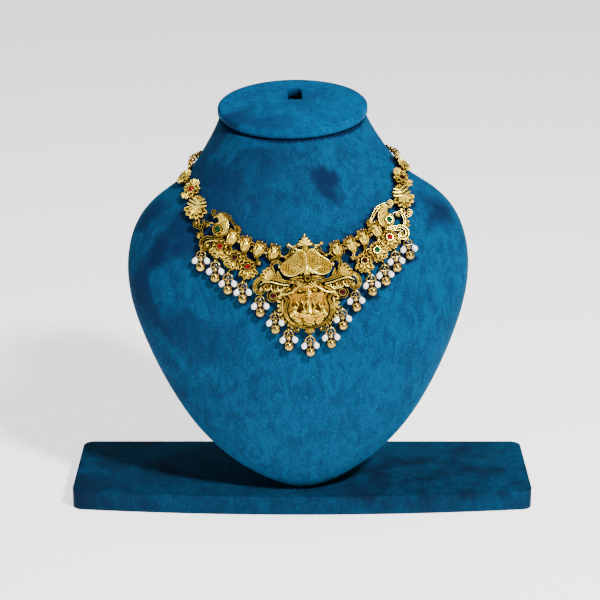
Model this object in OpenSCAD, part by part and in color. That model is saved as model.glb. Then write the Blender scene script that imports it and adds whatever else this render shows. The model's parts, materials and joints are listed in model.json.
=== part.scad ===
// Temple jewellery necklace shown on a velvet covered neck bust.
// Millimetres, +Z up, +X to the right, the chest faces -Y.
// The origin is the middle of the underside of the base board.

/* [Bust form] */
// Height of the bust form from its tip to the top of the neck
bust_h = 203; // [190:1:220]
// Width of the bust form across the shoulders
bust_w = 192; // [180:1:205]
// Depth of the rounded chest in front of the rim
bust_bulge = 33; // [30:1:37]
// Straight backward set of the neck against the tip
bust_rake = 10; // [6:1:14]
// Further backward sweep of the rim above the lower chest
bust_sweep = 38; // [32:1:44]
// Forward tilt of the top of the neck in degrees
neck_tilt = 10; // [6:0.5:13]
// Turn of the bust form about the upright axis in degrees
bust_turn = 3; // [0:0.5:6]
// Lean of the bust form to its right in degrees
bust_lean = 1.2; // [0:0.2:2.4]
// Sideways place of the tip on the base board
bust_x = 1.5; // [-4:0.5:8]
// Distance of the tip in front of the middle of the base board
bust_front = 26; // [22:1:30]

/* [Neck cap] */
// Width of the cap on top of the neck
cap_w = 83; // [81:1:90]
// Depth of the cap on top of the neck
cap_d = 72; // [71:1:78]
// Thickness of the cap
cap_t = 5; // [4:0.5:8]
// Step of the cap's rim, above and below
cap_edge = 0.8; // [0.4:0.1:1.5]
// Width of the slot through the cap
slot_w = 8; // [6:0.5:11]
// Length of the slot through the cap
slot_l = 16; // [12:0.5:20]
// Distance of the slot's middle behind the middle of the cap
slot_back = 15; // [12:0.5:18]
// Sideways place of the slot
slot_x = 2; // [-4:0.5:4]
// Depth of the pocket that goes on below the slot into the neck
pocket_d = 12; // [8:1:20]

/* [Base board] */
// Width of the base board
base_w = 258; // [230:1:280]
// Depth of the base board at its ends
base_d = 72; // [68:1:90]
// Forward bow of the front edge
base_bow = 7; // [3:0.5:10]
// Thickness of the base board
base_t = 11; // [8:0.5:16]
// Radius of the base board's corners
base_corner = 6; // [3:0.5:10]

/* [Rear prop] */
// Width of the prop behind the bust form
prop_w = 40; // [30:1:60]
// Thickness of the prop's board
prop_t = 8; // [6:0.5:11]
// Height of the top of the prop on the back of the bust form
prop_h = 110; // [95:1:120]
// Height of the prop's rest against the back of the bust form
prop_rest = 22; // [14:1:30]
// Distance of the prop's foot behind the tip of the bust form
prop_foot = 58; // [54:0.5:61]

/* [Necklace] */
// Size of the necklace against its drawing, which is one square of the grid it is laid out on
grid = 1; // [0.95:0.01:1.04]
// Height of the middle of the centre plaque above the tip of a bust form 203 mm high
collar_z = 120; // [114:1:126]
// Sideways place of the necklace on the chest
collar_x = 2.8; // [0:0.2:5]
// Turn of the necklace in its own plane in degrees
collar_turn = 0.9; // [0:0.1:2]
// Sideways drift of the links beside the neck
neck_drift = 2.6; // [1:0.1:4]
// Thickness of the castings
plate_t = 1.2; // [1:0.05:1.5]
// Height of the middle of the castings above the velvet
plate_lift = 2.1; // [2:0.05:2.6]
// Height of the raised wires and borders above the castings
relief = 0.8; // [0.5:0.05:1.1]

/* [Stones] */
// Diameter of the round stones
stone_d = 2.9; // [2.6:0.05:3.2]
// Diameter of the small stones
small_stone_d = 1.9; // [1.7:0.05:2.1]
// Wall of the bezel around a stone
bezel_wall = 0.65; // [0.5:0.05:0.8]
// Height of the bezel above the middle of the casting
bezel_h = 1.9; // [1.6:0.05:2.3]

/* [Drops] */
// Diameter of the hollow gold ball
ball_d = 5.2; // [4.6:0.1:5.5]
// Diameter of the small gold bead
bead_d = 2.5; // [2.1:0.1:2.6]
// Diameter of a pearl
pearl_d = 3.5; // [3:0.1:3.6]
// Bore of a pearl
pearl_bore = 0.9; // [0.8:0.05:1.1]
// Width of the arch between the middles of its wire
arch_w = 4.9; // [4.6:0.1:5.2]
// Wire of the arch
arch_wire = 0.85; // [0.7:0.05:0.9]
// Height of the top of the arch above the middle of the ball
arch_top = 8.8; // [8.6:0.1:9.4]

/* [Rings and chain] */
// Diameter of a connecting ring between the middles of its wire
ring_d = 2.6; // [2.5:0.05:2.8]
// Wire of a connecting ring
ring_wire = 0.6; // [0.5:0.05:0.65]
// Clearance around a wire in its hole
hole_gap = 0.25; // [0.2:0.01:0.3]
// Diameter of a chain link between the middles of its wire
link_d = 2.9; // [2.8:0.05:3.1]
// Wire of a chain link
link_wire = 0.76; // [0.7:0.02:0.8]
// Length of the plain clasp behind the neck
clasp_l = 12; // [9:0.5:16]
// Diameter of the plain clasp
clasp_d = 3.6; // [3:0.1:3.9]
// Gap between pieces that rest against each other
seat_gap = 0.15; // [0.1:0.01:0.25]

/* [Hidden] */
$fn = 40;
eps = 0.01;
half_w = bust_w / 2;
// The castings were laid out on a bust form of this size, and follow another one
drawn_h = 203;
drawn_w = 192;
fit_h = bust_h / drawn_h;
fit_w = bust_w / drawn_w;
fit = grid * min(fit_h, fit_w);
arch_r = arch_w / 2;
arch_y = arch_top - arch_r;
tab_r = ring_wire / 2 + hole_gap + 0.6;
tab_hole_r = ring_wire / 2 + hole_gap;
link_hole_r = link_wire / 2 + hole_gap;
eye_hole_r = arch_wire / 2 + hole_gap;
eye_r = eye_hole_r + 0.5;
eye_l = 0.9;
stone_gap = 0.08;
ring_space = 0.18;
drop_lift = ball_d / 2 + 0.3;
gold = [0.80, 0.62, 0.26];
gold_dark = [0.66, 0.48, 0.18];
velvet = [0.02, 0.32, 0.47];

// Sections of the bust form from the tip up.
// Columns: share of the height, half width as a share of the half width across the shoulders,
// front depth and back depth as shares of the bulge.
SECTIONS = [
    [0.000, 0.060, 0.10, 0.06], [0.017, 0.156, 0.26, 0.12], [0.040, 0.261, 0.38, 0.17],
    [0.085, 0.406, 0.52, 0.21], [0.150, 0.550, 0.66, 0.24], [0.220, 0.664, 0.78, 0.26],
    [0.320, 0.782, 0.90, 0.27], [0.430, 0.885, 0.98, 0.28], [0.530, 0.957, 1.00, 0.29],
    [0.620, 0.981, 0.98, 0.30], [0.700, 0.956, 0.95, 0.36], [0.760, 0.892, 0.93, 0.46],
    [0.805, 0.793, 0.92, 0.58], [0.840, 0.669, 0.93, 0.72], [0.875, 0.586, 0.96, 0.86],
    [0.915, 0.520, 1.00, 0.96], [0.960, 0.456, 1.04, 1.03], [1.000, 0.415, 1.06, 1.06]
];
HEIGHT = 0;
WIDTH = 1;
FRONT = 2;
BACK = 3;
LAST = len(SECTIONS) - 1;

// Slope of a column at a row, from its neighbours
function row_slope(c, i) =
    let (a = SECTIONS[max(i - 1, 0)], b = SECTIONS[min(i + 1, LAST)])
    (b[c] - a[c]) / (b[HEIGHT] - a[HEIGHT]);

// Smooth value of a column at a share of the height
function column(c, share) =
    let (
        s = min(max(share, 0), 1),
        i = min(max([for (k = [0:LAST]) if (SECTIONS[k][HEIGHT] <= s) k]), LAST - 1),
        a = SECTIONS[i],
        b = SECTIONS[i + 1],
        h = b[HEIGHT] - a[HEIGHT],
        t = (s - a[HEIGHT]) / h
    )
    (2 * t * t * t - 3 * t * t + 1) * a[c] + (t * t * t - 2 * t * t + t) * h * row_slope(c, i)
    + (3 * t * t - 2 * t * t * t) * b[c] + (t * t * t - t * t) * h * row_slope(c, i + 1);

function smoothstep(x) = let (t = min(max(x, 0), 1)) t * t * (3 - 2 * t);

// Distance of the rim behind the tip at a height
sweep_start = 0.35;
sweep_power = 1.6;
function rim_y(z) =
    let (s = z / bust_h)
    bust_rake * s + bust_sweep * pow(max(0, s - sweep_start) / (1 - sweep_start), sweep_power);

// The back is flat at the chest and round at the neck
flat_back = 5;
round_back = 2;
function back_power(s) = flat_back - (flat_back - round_back) * smoothstep((s - 0.60) / 0.25);

// Point of the bust form's skin at an angle from the front and a height
function skin(a, z) =
    let (
        s = z / bust_h,
        e = cos(a) < 0 ? 2 / back_power(s) : 1,
        x = half_w * column(WIDTH, s) * sign(sin(a)) * pow(abs(sin(a)), e),
        d = cos(a) < 0
            ? bust_bulge * column(BACK, s) * pow(-cos(a), e)
            : -bust_bulge * column(FRONT, s) * cos(a)
    )
    [x, rim_y(z) + d, z + smoothstep((s - 0.7) / 0.3) * tan(neck_tilt) * d];

function unit(v) = v / norm(v);

// Outward direction of the skin
function skin_normal(a, z) = unit(cross(skin(a + 0.5, z) - skin(a, z), skin(a, z + 0.5) - skin(a, z)));

// Matrix of a frame with its x, y and z directions and its origin
function frame(x, y, z, o) = [
    [x[0], y[0], z[0], o[0]],
    [x[1], y[1], z[1], o[1]],
    [x[2], y[2], z[2], o[2]],
    [0, 0, 0, 1]
];

// Place on the chest in bust coordinates, from grid squares right of and above the plaque's middle
function chest_xz(p) =
    let (
        u = p[0] * grid,
        v = p[1] * grid,
        drift = neck_drift * max(0, v - 30) / 25
    )
    [
        fit_w * (collar_x - drift + cos(collar_turn) * u - sin(collar_turn) * v),
        fit_h * (collar_z + sin(collar_turn) * u + cos(collar_turn) * v)
    ];

// Angle from the front of such a place, never further round than the side of the neck
most_sine = 0.998;
function angle_at(q) =
    let (sine = q[0] / (half_w * column(WIDTH, q[1] / bust_h)))
    asin(max(-most_sine, min(most_sine, sine)));

// Frame that touches the chest there, with its y direction upwards, turned in its own plane
function chest_frame(p, lift, turn = 0) =
    let (
        q = chest_xz(p),
        a = angle_at(q),
        n = skin_normal(a, q[1]),
        up = [-sin(collar_turn), 0, cos(collar_turn)],
        x = unit(cross(up, n)),
        y = cross(n, x)
    )
    frame(cos(turn) * x + sin(turn) * y, cos(turn) * y - sin(turn) * x, n, skin(a, q[1]) + lift * n);

// Castings of one side: place on the chest in grid squares and turn of the casting in degrees
CENTRE = [0, 0, 0];
BUD = [17, 20.6, 12];
LOTUS = [31, 20.5, 0];
PEACOCK = [44.5, 27.5, 0];
FAN = [55.3, 41.2, 6];
FLORAL = [56.2, 50.2, 10];
SCROLL = [57.1, 55.2, 20];

// Connecting rings of one side: place on the chest and direction of the next casting in degrees
RINGS = [
    [12.6, 18.9, 15],
    [21.2, 20.9, 10],
    [35.2, 26.6, 24],
    [54.6, 36.6, 80],
    [54.5, 47.4, 70],
    [56.6, 52.6, 75]
];
CHAIN_START = [55.2, 58.1];

// Drops of one side from the neck to the middle, by the middle of their balls
DROPS = [
    [55.7, 14.1], [48.4, 8.9], [42.0, 2.8], [34.4, -1.6], [25.5, -8.7], [17.9, -17.4], [11.2, -26.4],
    [0, -30]
];
MIDDLE_DROP = 7;

// Place that the eye above each drop is joined to: casting, and grid squares on it
EYES = [
    [PEACOCK, [8.6, -3.5]], [PEACOCK, [0.4, -8.0]], [PEACOCK, [-7.0, -14.8]], [LOTUS, [0, -12.1]],
    [CENTRE, [25.1, 3.2]], [CENTRE, [14.2, -6.4]], [CENTRE, [10.2, -15.3]], [CENTRE, [-0.1, -18.9]]
];

// Frame at a place of one side
function side_frame(p, side, lift, turn = 0) = chest_frame([side * p[0], p[1]], fit * lift, side * turn);

// Children are placed in the frame of a bust standing on the base board
module on_bust() {
    translate([bust_x, -bust_front, base_t + seat_gap])
        rotate([0, 0, bust_turn])
            rotate([0, -bust_lean, 0])
                children();
}

// Children lie on the chest at a place of one side, the left side as a mirror image
module on_chest(p, side, lift = plate_lift, turn = 0) {
    on_bust()
        multmatrix(side_frame(p, side, lift, turn))
            mirror([side < 0 ? 1 : 0, 0, 0])
                scale(fit)
                    children();
}

module on_plate(p, side) {
    on_chest(p, side, plate_lift, p[2])
        children();
}

module at_ring(i, side) {
    on_chest(RINGS[i], side, plate_lift, RINGS[i][2])
        children();
}

module at_drop(i, side) {
    on_chest(DROPS[i], side, drop_lift)
        children();
}

// Outline helpers: a smooth line through a few points, and a band of changing width along it
function spline_point(p, i, t) =
    let (a = p[max(i - 1, 0)], b = p[i], c = p[i + 1], d = p[min(i + 2, len(p) - 1)])
    0.5 * (2 * b + (c - a) * t + (2 * a - 5 * b + 4 * c - d) * t * t + (3 * b - a - 3 * c + d) * t * t * t);

function spline(p, k = 3) = [
    for (i = [0:len(p) - 2]) for (j = [0:k - 1]) spline_point(p, i, j / k),
    p[len(p) - 1]
];

function line_normal(c, i) =
    let (d = unit(c[min(i + 1, len(c) - 1)] - c[max(i - 1, 0)]))
    [-d[1], d[0]];

function band_half(w, t) = (t < 0.5 ? w[0] + (w[1] - w[0]) * 2 * t : w[1] + (w[2] - w[1]) * (2 * t - 1)) / 2;

function band(c, w) =
    let (n = len(c) - 1)
    concat(
        [for (i = [0:n]) c[i] + line_normal(c, i) * band_half(w, i / n)],
        [for (i = [n:-1:0]) c[i] - line_normal(c, i) * band_half(w, i / n)]
    );

module stroke(p, w, k = 3) {
    polygon(band(spline(p, k), w));
}

module dot(p, r) {
    translate(p)
        circle(r);
}

module petal(l, w) {
    polygon(concat(
        [for (t = [0:0.2:1]) [l * t, w / 2 * sin(180 * pow(t, 1.4))]],
        [for (t = [0.8:-0.2:0.2]) [l * t, -w / 2 * sin(180 * pow(t, 1.4))]]
    ));
}

// Petals around a middle, from one angle to another, each of its own length
module petals(p, from, to, count, l, w) {
    for (i = [0:count - 1])
        translate(p)
            rotate(from + (to - from) * i / (count - 1))
                petal(l, w);
}

module both_halves() {
    for (m = [0, 1])
        mirror([m, 0])
            children();
}

// Cast metal of the plate's own thickness, and metal that stands above it
module cast_flat() {
    translate([0, 0, -plate_t / 2])
        linear_extrude(plate_t)
            children();
}

module cast_raised(h = relief) {
    linear_extrude(plate_t / 2 + h)
        children();
}

// A point in bust coordinates seen from a frame on the chest
function column_of(m, c) = [m[0][c], m[1][c], m[2][c]];
function seen_from(m, side, q) =
    let (d = q - column_of(m, 3))
    [side * d * column_of(m, 0), d * column_of(m, 1)] / fit;

// Middle of a tab in bust coordinates, and seen from a casting
function tab_place(i, side, end) =
    let (m = side_frame(RINGS[i], side, plate_lift, RINGS[i][2]))
    column_of(m, 3) + side * end * fit * ring_d / 2 * column_of(m, 0);
function in_plate(p, side, q) = seen_from(side_frame(p, side, plate_lift, p[2]), side, q);

// Place of a casting's eye seen from its drop
function in_drop(i, side) =
    let (
        m = side_frame(EYES[i][0], side, plate_lift, EYES[i][0][2]),
        to = fit * EYES[i][1],
        q = column_of(m, 3) + side * to[0] * column_of(m, 0) + to[1] * column_of(m, 1)
    )
    seen_from(side_frame(DROPS[i], side, drop_lift), side, q);

// Arm from a place on a casting to the middle of a tab
module arm_to(from, tab, w = 2.2) {
    stroke([from, (from + tab) / 2, tab], [w, 0.8 * w, 0.7 * w], 2);
}

// Tab with the hole of a connecting ring, before (end = -1) or after (end = 1) the ring's middle
module ring_tab(i, side, end) {
    at_ring(i, side)
        translate([end * ring_d / 2, 0, -plate_t / 2])
            cylinder(h = plate_t, r = tab_r, $fn = 24);
}

// Hole in the tab and the free space around the rest of the ring
module ring_hole(i, side, end) {
    at_ring(i, side) {
        translate([end * ring_d / 2, 0, -plate_t])
            cylinder(h = 2 * plate_t, r = tab_hole_r, $fn = 24);
        rotate([90, 0, 0])
            rotate_extrude($fn = 32)
                translate([ring_d / 2, 0])
                    circle(r = ring_wire / 2 + ring_space, $fn = 16);
    }
}

// Eye above a drop that its arch hangs in, with a neck that reaches up into the casting
module drop_eye(i, side) {
    neck = in_drop(i, side) - [0, arch_top];
    neck_start = eye_hole_r + 0.2;
    at_drop(i, side)
        translate([0, arch_top, 0]) {
            rotate([0, 90, 0])
                cylinder(h = eye_l, r = eye_r, center = true, $fn = 24);
            rotate([-90, 0, atan2(-neck[0], neck[1])])
                translate([0, (drop_lift - plate_lift) / 2, neck_start])
                    cylinder(h = norm(neck) - neck_start, r = 0.55, $fn = 16);
        }
}

// Free space around the arch of a drop, which also makes the hole of its eye
module arch_space(i, side) {
    at_drop(i, side)
        translate([0, arch_y, 0])
            rotate_extrude($fn = 48)
                translate([arch_r, 0])
                    circle(r = eye_hole_r, $fn = 24);
}

// Bezel and the seat cut for its stone
module bezel(p, d) {
    translate(p)
        cylinder(h = bezel_h, r = d / 2 + stone_gap + bezel_wall, $fn = 32);
}

stone_seat = 0.35;
module bezel_seat(p, d) {
    translate([p[0], p[1], stone_seat])
        cylinder(h = bezel_h, r = d / 2 + stone_gap, $fn = 32);
}

// Lotus bud as a turned form that lies in the plate, tip down, with a flat back
BUD_FORM = [[0, -4.6], [0.9, -3.9], [2.3, -1.8], [2.6, 0], [2.2, 1.6], [1.5, 2.9], [0, 3.2]];
module bud(p, turn) {
    translate(p)
        rotate(turn) {
            intersection() {
                rotate([-90, 0, 0])
                    rotate_extrude($fn = 24)
                        polygon(BUD_FORM);
                translate([-4, -6, -plate_t / 2 - 0.2])
                    cube([8, 12, 4]);
            }
            cast_raised()
                both_halves()
                    stroke([[0.5, 1.6], [1.6, 3.0], [1.2, 4.8]], [1.6, 1.3, 0.5]);
        }
}

// Outlines of the centre plaque, its right half in grid squares
LOBE = [
    [0, 21.4], [1.6, 23.1], [4.5, 23.4], [6.0, 21.3], [8.8, 19.0], [12.2, 16.6], [13.4, 13.9], [12.3, 11.3],
    [9.3, 9.9], [5.6, 10.4], [2.6, 12.4], [0, 15.4]
];
PANEL = [
    [0, 6.0], [2.6, 5.4], [5.5, 3.8], [9.6, 3.4], [12.6, 1.6], [15.3, -1.8], [16.1, -5.8], [15.4, -10.2],
    [13.0, -14.0], [10.6, -16.7], [8.2, -17.9], [5.2, -17.7], [2.6, -19.6], [0, -21.6]
];
CROWN = [
    [0, 31.6], [0.7, 31.0], [0.6, 29.7], [1.8, 29.2], [2.0, 28.3], [3.6, 27.7], [3.8, 26.5], [3.0, 25.6],
    [2.3, 24.4], [1.9, 22.4], [0, 22.0]
];
ARM = [
    [2.5, 5.2], [8.8, 6.3], [13.3, 7.3], [19.1, 9.3], [23.7, 9.7], [26.9, 7.9], [28.1, 5.0], [27.4, 2.3],
    [25.4, 1.2], [23.5, 2.0], [23.2, 3.8]
];
UPPER_SCROLL = [
    [10.4, 6.2], [14.6, 8.6], [17.4, 11.4], [18.7, 14.4], [17.8, 17.2], [15.2, 17.9], [13.4, 16.4],
    [13.8, 14.8]
];
OUTER_RAIL = [
    [8.4, 2.8], [12.0, 1.2], [14.6, -1.8], [15.4, -5.6], [14.8, -9.8], [12.9, -13.6], [10.3, -16.3]
];
INNER_RAIL = [
    [7.4, 0.8], [9.8, -1.6], [11.0, -5.0], [10.6, -9.2], [8.4, -12.8], [5.2, -15.0]
];
FOOT_SCROLL = [[3.6, -16.8], [6.3, -17.0], [8.0, -18.0], [7.8, -19.6], [6.3, -20.0]];
// Rings under the arm: place and outer radius
ARM_RINGS = [[21.2, 4.7, 1.95], [17.6, 3.9, 1.85], [14.2, 3.5, 1.75]];
LEAF_STONE = [18.6, -0.4];
CREST_STONE = [0, 24.0];
NAVEL_STONE = [0.4, 7.9];

function whole(half) = concat(half, [for (i = [len(half) - 1:-1:0]) [-half[i][0], half[i][1]]]);

module centre_outline() {
    difference() {
        union() {
            polygon(whole(spline(PANEL, 2)));
            polygon(whole(CROWN));
            stroke([[0, 17], [0.2, 12], [0.4, 7.5]], [1.4, 2.4, 3.4]);
            dot(NAVEL_STONE, 2.3);
            both_halves() {
                polygon(spline(LOBE, 2));
                stroke(ARM, [0.9, 1.7, 1.0]);
                dot([24.9, 4.0], 1.4);
                stroke([[9.5, 4.6], [13.8, 5.2], [18.5, 6.9], [22.4, 7.3], [25.6, 6.2]], [0.8, 1.3, 0.9]);
                for (q = ARM_RINGS)
                    dot([q[0], q[1]], q[2]);
                stroke(UPPER_SCROLL, [0.9, 1.6, 0.9]);
                dot([14.4, 14.7], 1.1);
                stroke([[13.2, 7.6], [14.7, 10.2], [14.9, 12.6]], [0.8, 1.6, 0.5], 2);
                petals([17.8, 8.6], 8, 80, 5, 7.4, 2.5);
                stroke([[9.6, 3.6], [13.5, 1.5], LEAF_STONE], [1.6, 3.2, 4.2]);
                dot(LEAF_STONE, 3.3);
                stroke([[2.2, 25.7], [5.2, 25.3], [7.4, 24.2], [8.1, 22.3], [6.8, 21.3]], [1.1, 1.2, 0.9]);
                dot([6.5, 22.5], 1.1);
                stroke([[5.2, 25.2], [7.2, 25.2], [8.8, 26.3]], [1.0, 0.9, 0.9], 2);
                dot([8.8, 26.3], 1.2);
                stroke(FOOT_SCROLL, [1.4, 1.0, 0.8]);
                dot([6.1, -19.2], 0.9);
            }
        }
        both_halves() {
            stroke([[12.5, -1.6], [13.3, -5.6], [12.9, -9.4], [11.0, -13.0]], [0.4, 0.9, 0.4]);
            stroke([[3.2, 2.2], [4.9, -0.2], [5.0, -3.0]], [0.5, 1.5, 0.5]);
            stroke([[4.6, 4.9], [7.0, 3.9], [9.4, 2.6]], [0.3, 0.8, 0.3], 2);
            for (q = ARM_RINGS)
                dot([q[0], q[1]], q[2] - 1.1);
        }
    }
}

module centre_borders() {
    both_halves() {
        difference() {
            polygon(spline(LOBE, 2));
            translate([0.3, 0.2])
                scale(0.88)
                    translate([0.6, 2.0])
                        polygon(spline(LOBE, 2));
        }
        stroke(ARM, [0.5, 0.9, 0.5]);
        stroke(UPPER_SCROLL, [0.5, 0.9, 0.5]);
        stroke(OUTER_RAIL, [0.7, 1.1, 0.8]);
        stroke(INNER_RAIL, [0.6, 1.3, 0.8]);
    }
}

// Calm seated figure of a traditional kind on a lotus seat
HEAD = [0.4, 0.2];
module seated_figure() {
    translate([HEAD[0], HEAD[1], 1.4]) {
        sphere(r = 1.6, $fn = 24);
        translate([0, 0.9, 0.1])
            rotate([-90, 0, 0])
                rotate_extrude($fn = 24)
                    polygon([[0, 0], [1.5, 0], [1.6, 0.7], [1.0, 1.6], [1.1, 2.0], [0.5, 2.9], [0, 3.3]]);
    }
    translate([HEAD[0], -1.3, 0.9])
        rotate([90, 0, 0])
            cylinder(h = 6.6, r1 = 1.3, r2 = 1.9, $fn = 24);
    both_halves() {
        translate([0, -2.4, 1.1])
            rotate([90, 0, 75])
                cylinder(h = 3.4, r = 0.65, $fn = 16);
        translate([3.2, -3.4, 1.1])
            rotate([-90, 0, -12])
                cylinder(h = 4.0, r = 0.6, $fn = 16);
        translate([3.4, 0.6, 1.1])
            sphere(r = 0.95, $fn = 20);
        translate([2.6, -3.4, 1.0])
            rotate([90, 0, 10])
                cylinder(h = 4.2, r = 0.6, $fn = 16);
        translate([4.9, -9.2, 0.8])
            sphere(r = 1.7, $fn = 24);
    }
    translate([-4.9, -9.2, 0.8])
        rotate([0, 90, 0])
            cylinder(h = 9.8, r = 1.7, $fn = 24);
}

module attendants() {
    both_halves() {
        translate([7.5, -8.2, 0.2])
            sphere(r = 1.9, $fn = 24);
        translate([7.8, -5.2, 0.6])
            sphere(r = 1.1, $fn = 20);
        translate([7.0, -6.3, 0.4])
            rotate([0, 0, 30])
                rotate([-90, 0, 0])
                    cylinder(h = 3.2, r = 0.5, $fn = 16);
    }
}

module lotus_seat() {
    cast_raised(0.5)
        petals([0, -10.2], -165, -15, 9, 7.4, 2.4);
    cast_raised(1.2)
        petals([0, -10.6], -155, -25, 7, 4.6, 2.0);
    cast_raised(0.9)
        both_halves()
            stroke([[0, -20.2], [1.2, -18.8], [2.6, -18.0]], [0.9, 1.2, 0.6], 2);
}

function side_tab(side) = in_plate(CENTRE, 1, tab_place(0, side, -1));

module centre_plaque() {
    color(gold)
        difference() {
            union() {
                on_plate(CENTRE, 1) {
                    cast_flat() {
                        centre_outline();
                        for (side = [-1, 1])
                            arm_to([side * 7.8, 19.2], side_tab(side), 1.7);
                    }
                    cast_raised()
                        centre_borders();
                    cast_raised(0.5)
                        both_halves() {
                            petals([17.8, 8.6], 8, 80, 5, 6.9, 1.5);
                            dot([24.9, 4.0], 0.9);
                            dot([14.4, 14.7], 0.8);
                            dot([8.8, 26.3], 0.9);
                            dot([6.1, -19.2], 0.7);
                        }
                    cast_raised(0.5)
                        whole_crown_steps();
                    seated_figure();
                    attendants();
                    lotus_seat();
                    for (s = [-1, 1])
                        bezel([s * LEAF_STONE[0], LEAF_STONE[1]], stone_d);
                    bezel(CREST_STONE, small_stone_d);
                    bezel(NAVEL_STONE, small_stone_d);
                }
                for (side = [-1, 1]) {
                    ring_tab(0, side, -1);
                    for (i = [4:6])
                        drop_eye(i, side);
                }
                drop_eye(MIDDLE_DROP, 1);
            }
            on_plate(CENTRE, 1) {
                for (s = [-1, 1])
                    bezel_seat([s * LEAF_STONE[0], LEAF_STONE[1]], stone_d);
                bezel_seat(CREST_STONE, small_stone_d);
                bezel_seat(NAVEL_STONE, small_stone_d);
            }
            for (side = [-1, 1]) {
                ring_hole(0, side, -1);
                for (i = [4:6])
                    arch_space(i, side);
            }
            arch_space(MIDDLE_DROP, 1);
        }
}

module whole_crown_steps() {
    polygon(whole([[0, 29.4], [1.6, 28.9], [1.8, 28.4], [0, 28.2]]));
    polygon(whole([[0, 27.9], [3.2, 27.5], [3.5, 26.7], [0, 26.4]]));
}

// Link with one lotus bud beside the centre plaque
module bud_link(side) {
    color(gold)
        difference() {
            union() {
                on_plate(BUD, side) {
                    bud([0, -0.2], 8);
                    cast_flat() {
                        petals([0, -0.8], 42, 150, 5, 4.6, 2.2);
                        arm_to([0, -1.0], in_plate(BUD, side, tab_place(0, side, 1)), 1.7);
                        arm_to([0, -1.0], in_plate(BUD, side, tab_place(1, side, -1)), 1.7);
                        dot([0, -0.6], 2.2);
                    }
                }
                ring_tab(0, side, 1);
                ring_tab(1, side, -1);
            }
            ring_hole(0, side, 1);
            ring_hole(1, side, -1);
        }
}

// Rosette of petals around a stone, seen in the plate's plane
module rosette(p, lower_turn) {
    petals(p, lower_turn + 65, lower_turn + 295, 7, 4.5, 2.9);
    petals(p, lower_turn - 45, lower_turn + 45, 4, 6.9, 3.1);
    dot(p, 2.9);
}

module rosette_rims(p, lower_turn) {
    petals(p, lower_turn - 38, lower_turn + 38, 4, 6.2, 1.6);
    petals(p, lower_turn + 75, lower_turn + 285, 6, 4.0, 1.5);
}

// Casting with two lotus buds over a stone rosette
LOTUS_STONE = [-0.3, -7.0];
BESIDE_LOTUS = [5.8, -2.7];
module lotus_plaque(side) {
    color(gold)
        difference() {
            union() {
                on_plate(LOTUS, side) {
                    bud([-6.2, 1.8], 24);
                    bud([0.8, 4.8], 12);
                    cast_flat() {
                        petals([-6.2, 1.6], 60, 156, 5, 4.9, 2.4);
                        dot([-6.2, 1.4], 2.3);
                        petals([0.8, 4.6], 50, 160, 5, 4.9, 2.4);
                        dot([0.8, 4.4], 2.3);
                        stroke([[-6.2, 1.0], [-2.8, 2.0], [0.8, 3.6]], [2.2, 1.5, 2.2], 2);
                        stroke([[0.8, 2.4], [0.9, -1.0], [-0.3, -4.0]], [1.8, 1.2, 2.0], 2);
                        stroke([[-5.4, -1.4], [-5.6, -4.0], [-3.4, -6.2]], [0.8, 1.1, 1.0], 2);
                        dot([-6.3, -5.0], 1.2);
                        arm_to([-6.6, 1.0], in_plate(LOTUS, side, tab_place(1, side, 1)), 1.7);
                        arm_to([0.8, 4.0], in_plate(LOTUS, side, tab_place(2, side, -1)), 1.8);
                        difference() {
                            rosette(LOTUS_STONE, -95);
                            dot(BESIDE_LOTUS, 3.9);
                        }
                    }
                    cast_raised(0.5)
                        difference() {
                            rosette_rims(LOTUS_STONE, -95);
                            dot(BESIDE_LOTUS, 4.2);
                        }
                    bezel(LOTUS_STONE, stone_d);
                }
                ring_tab(1, side, 1);
                ring_tab(2, side, -1);
                drop_eye(3, side);
            }
            on_plate(LOTUS, side)
                bezel_seat(LOTUS_STONE, stone_d);
            ring_hole(1, side, 1);
            ring_hole(2, side, -1);
            arch_space(3, side);
        }
}

// Casting with the peacock, one bud, two stone rosettes and the scroll towards the neck
PEACOCK_BODY = [
    [2.7, 12.9], [1.0, 14.1], [-0.9, 13.6], [-3.4, 10.6], [-4.1, 6.6], [-2.8, 3.2], [0.4, 2.0], [3.4, 3.4],
    [4.3, 6.2], [3.3, 8.5], [1.7, 9.4], [1.2, 10.8], [2.7, 12.9]
];
PEACOCK_CREST = [[1.6, 12.2], [3.6, 13.0], [4.9, 14.6], [4.4, 16.2], [3.0, 15.9]];
PEACOCK_STONE = [1.5, 5.7];
INNER_ROSETTE = [-7.7, -9.7];
BESIDE_INNER = [-13.8, -14.0];
OUTER_ROSETTE = [0.3, -3.6];
VOLUTE = [
    [-1.4, 1.0], [3.6, 1.2], [7.8, 1.2], [10.3, -0.4], [10.6, -2.7], [9.2, -4.6], [7.0, -5.0], [5.7, -3.6]
];
NECK_SCROLL = [[9.2, 1.0], [10.2, 3.8], [10.0, 6.8], [8.8, 9.4], [6.9, 9.2], [6.6, 7.6]];
SIDE_SCROLL = [[10.0, 5.6], [12.0, 6.6], [14.2, 7.6], [14.6, 9.4], [13.2, 9.9]];
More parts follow.
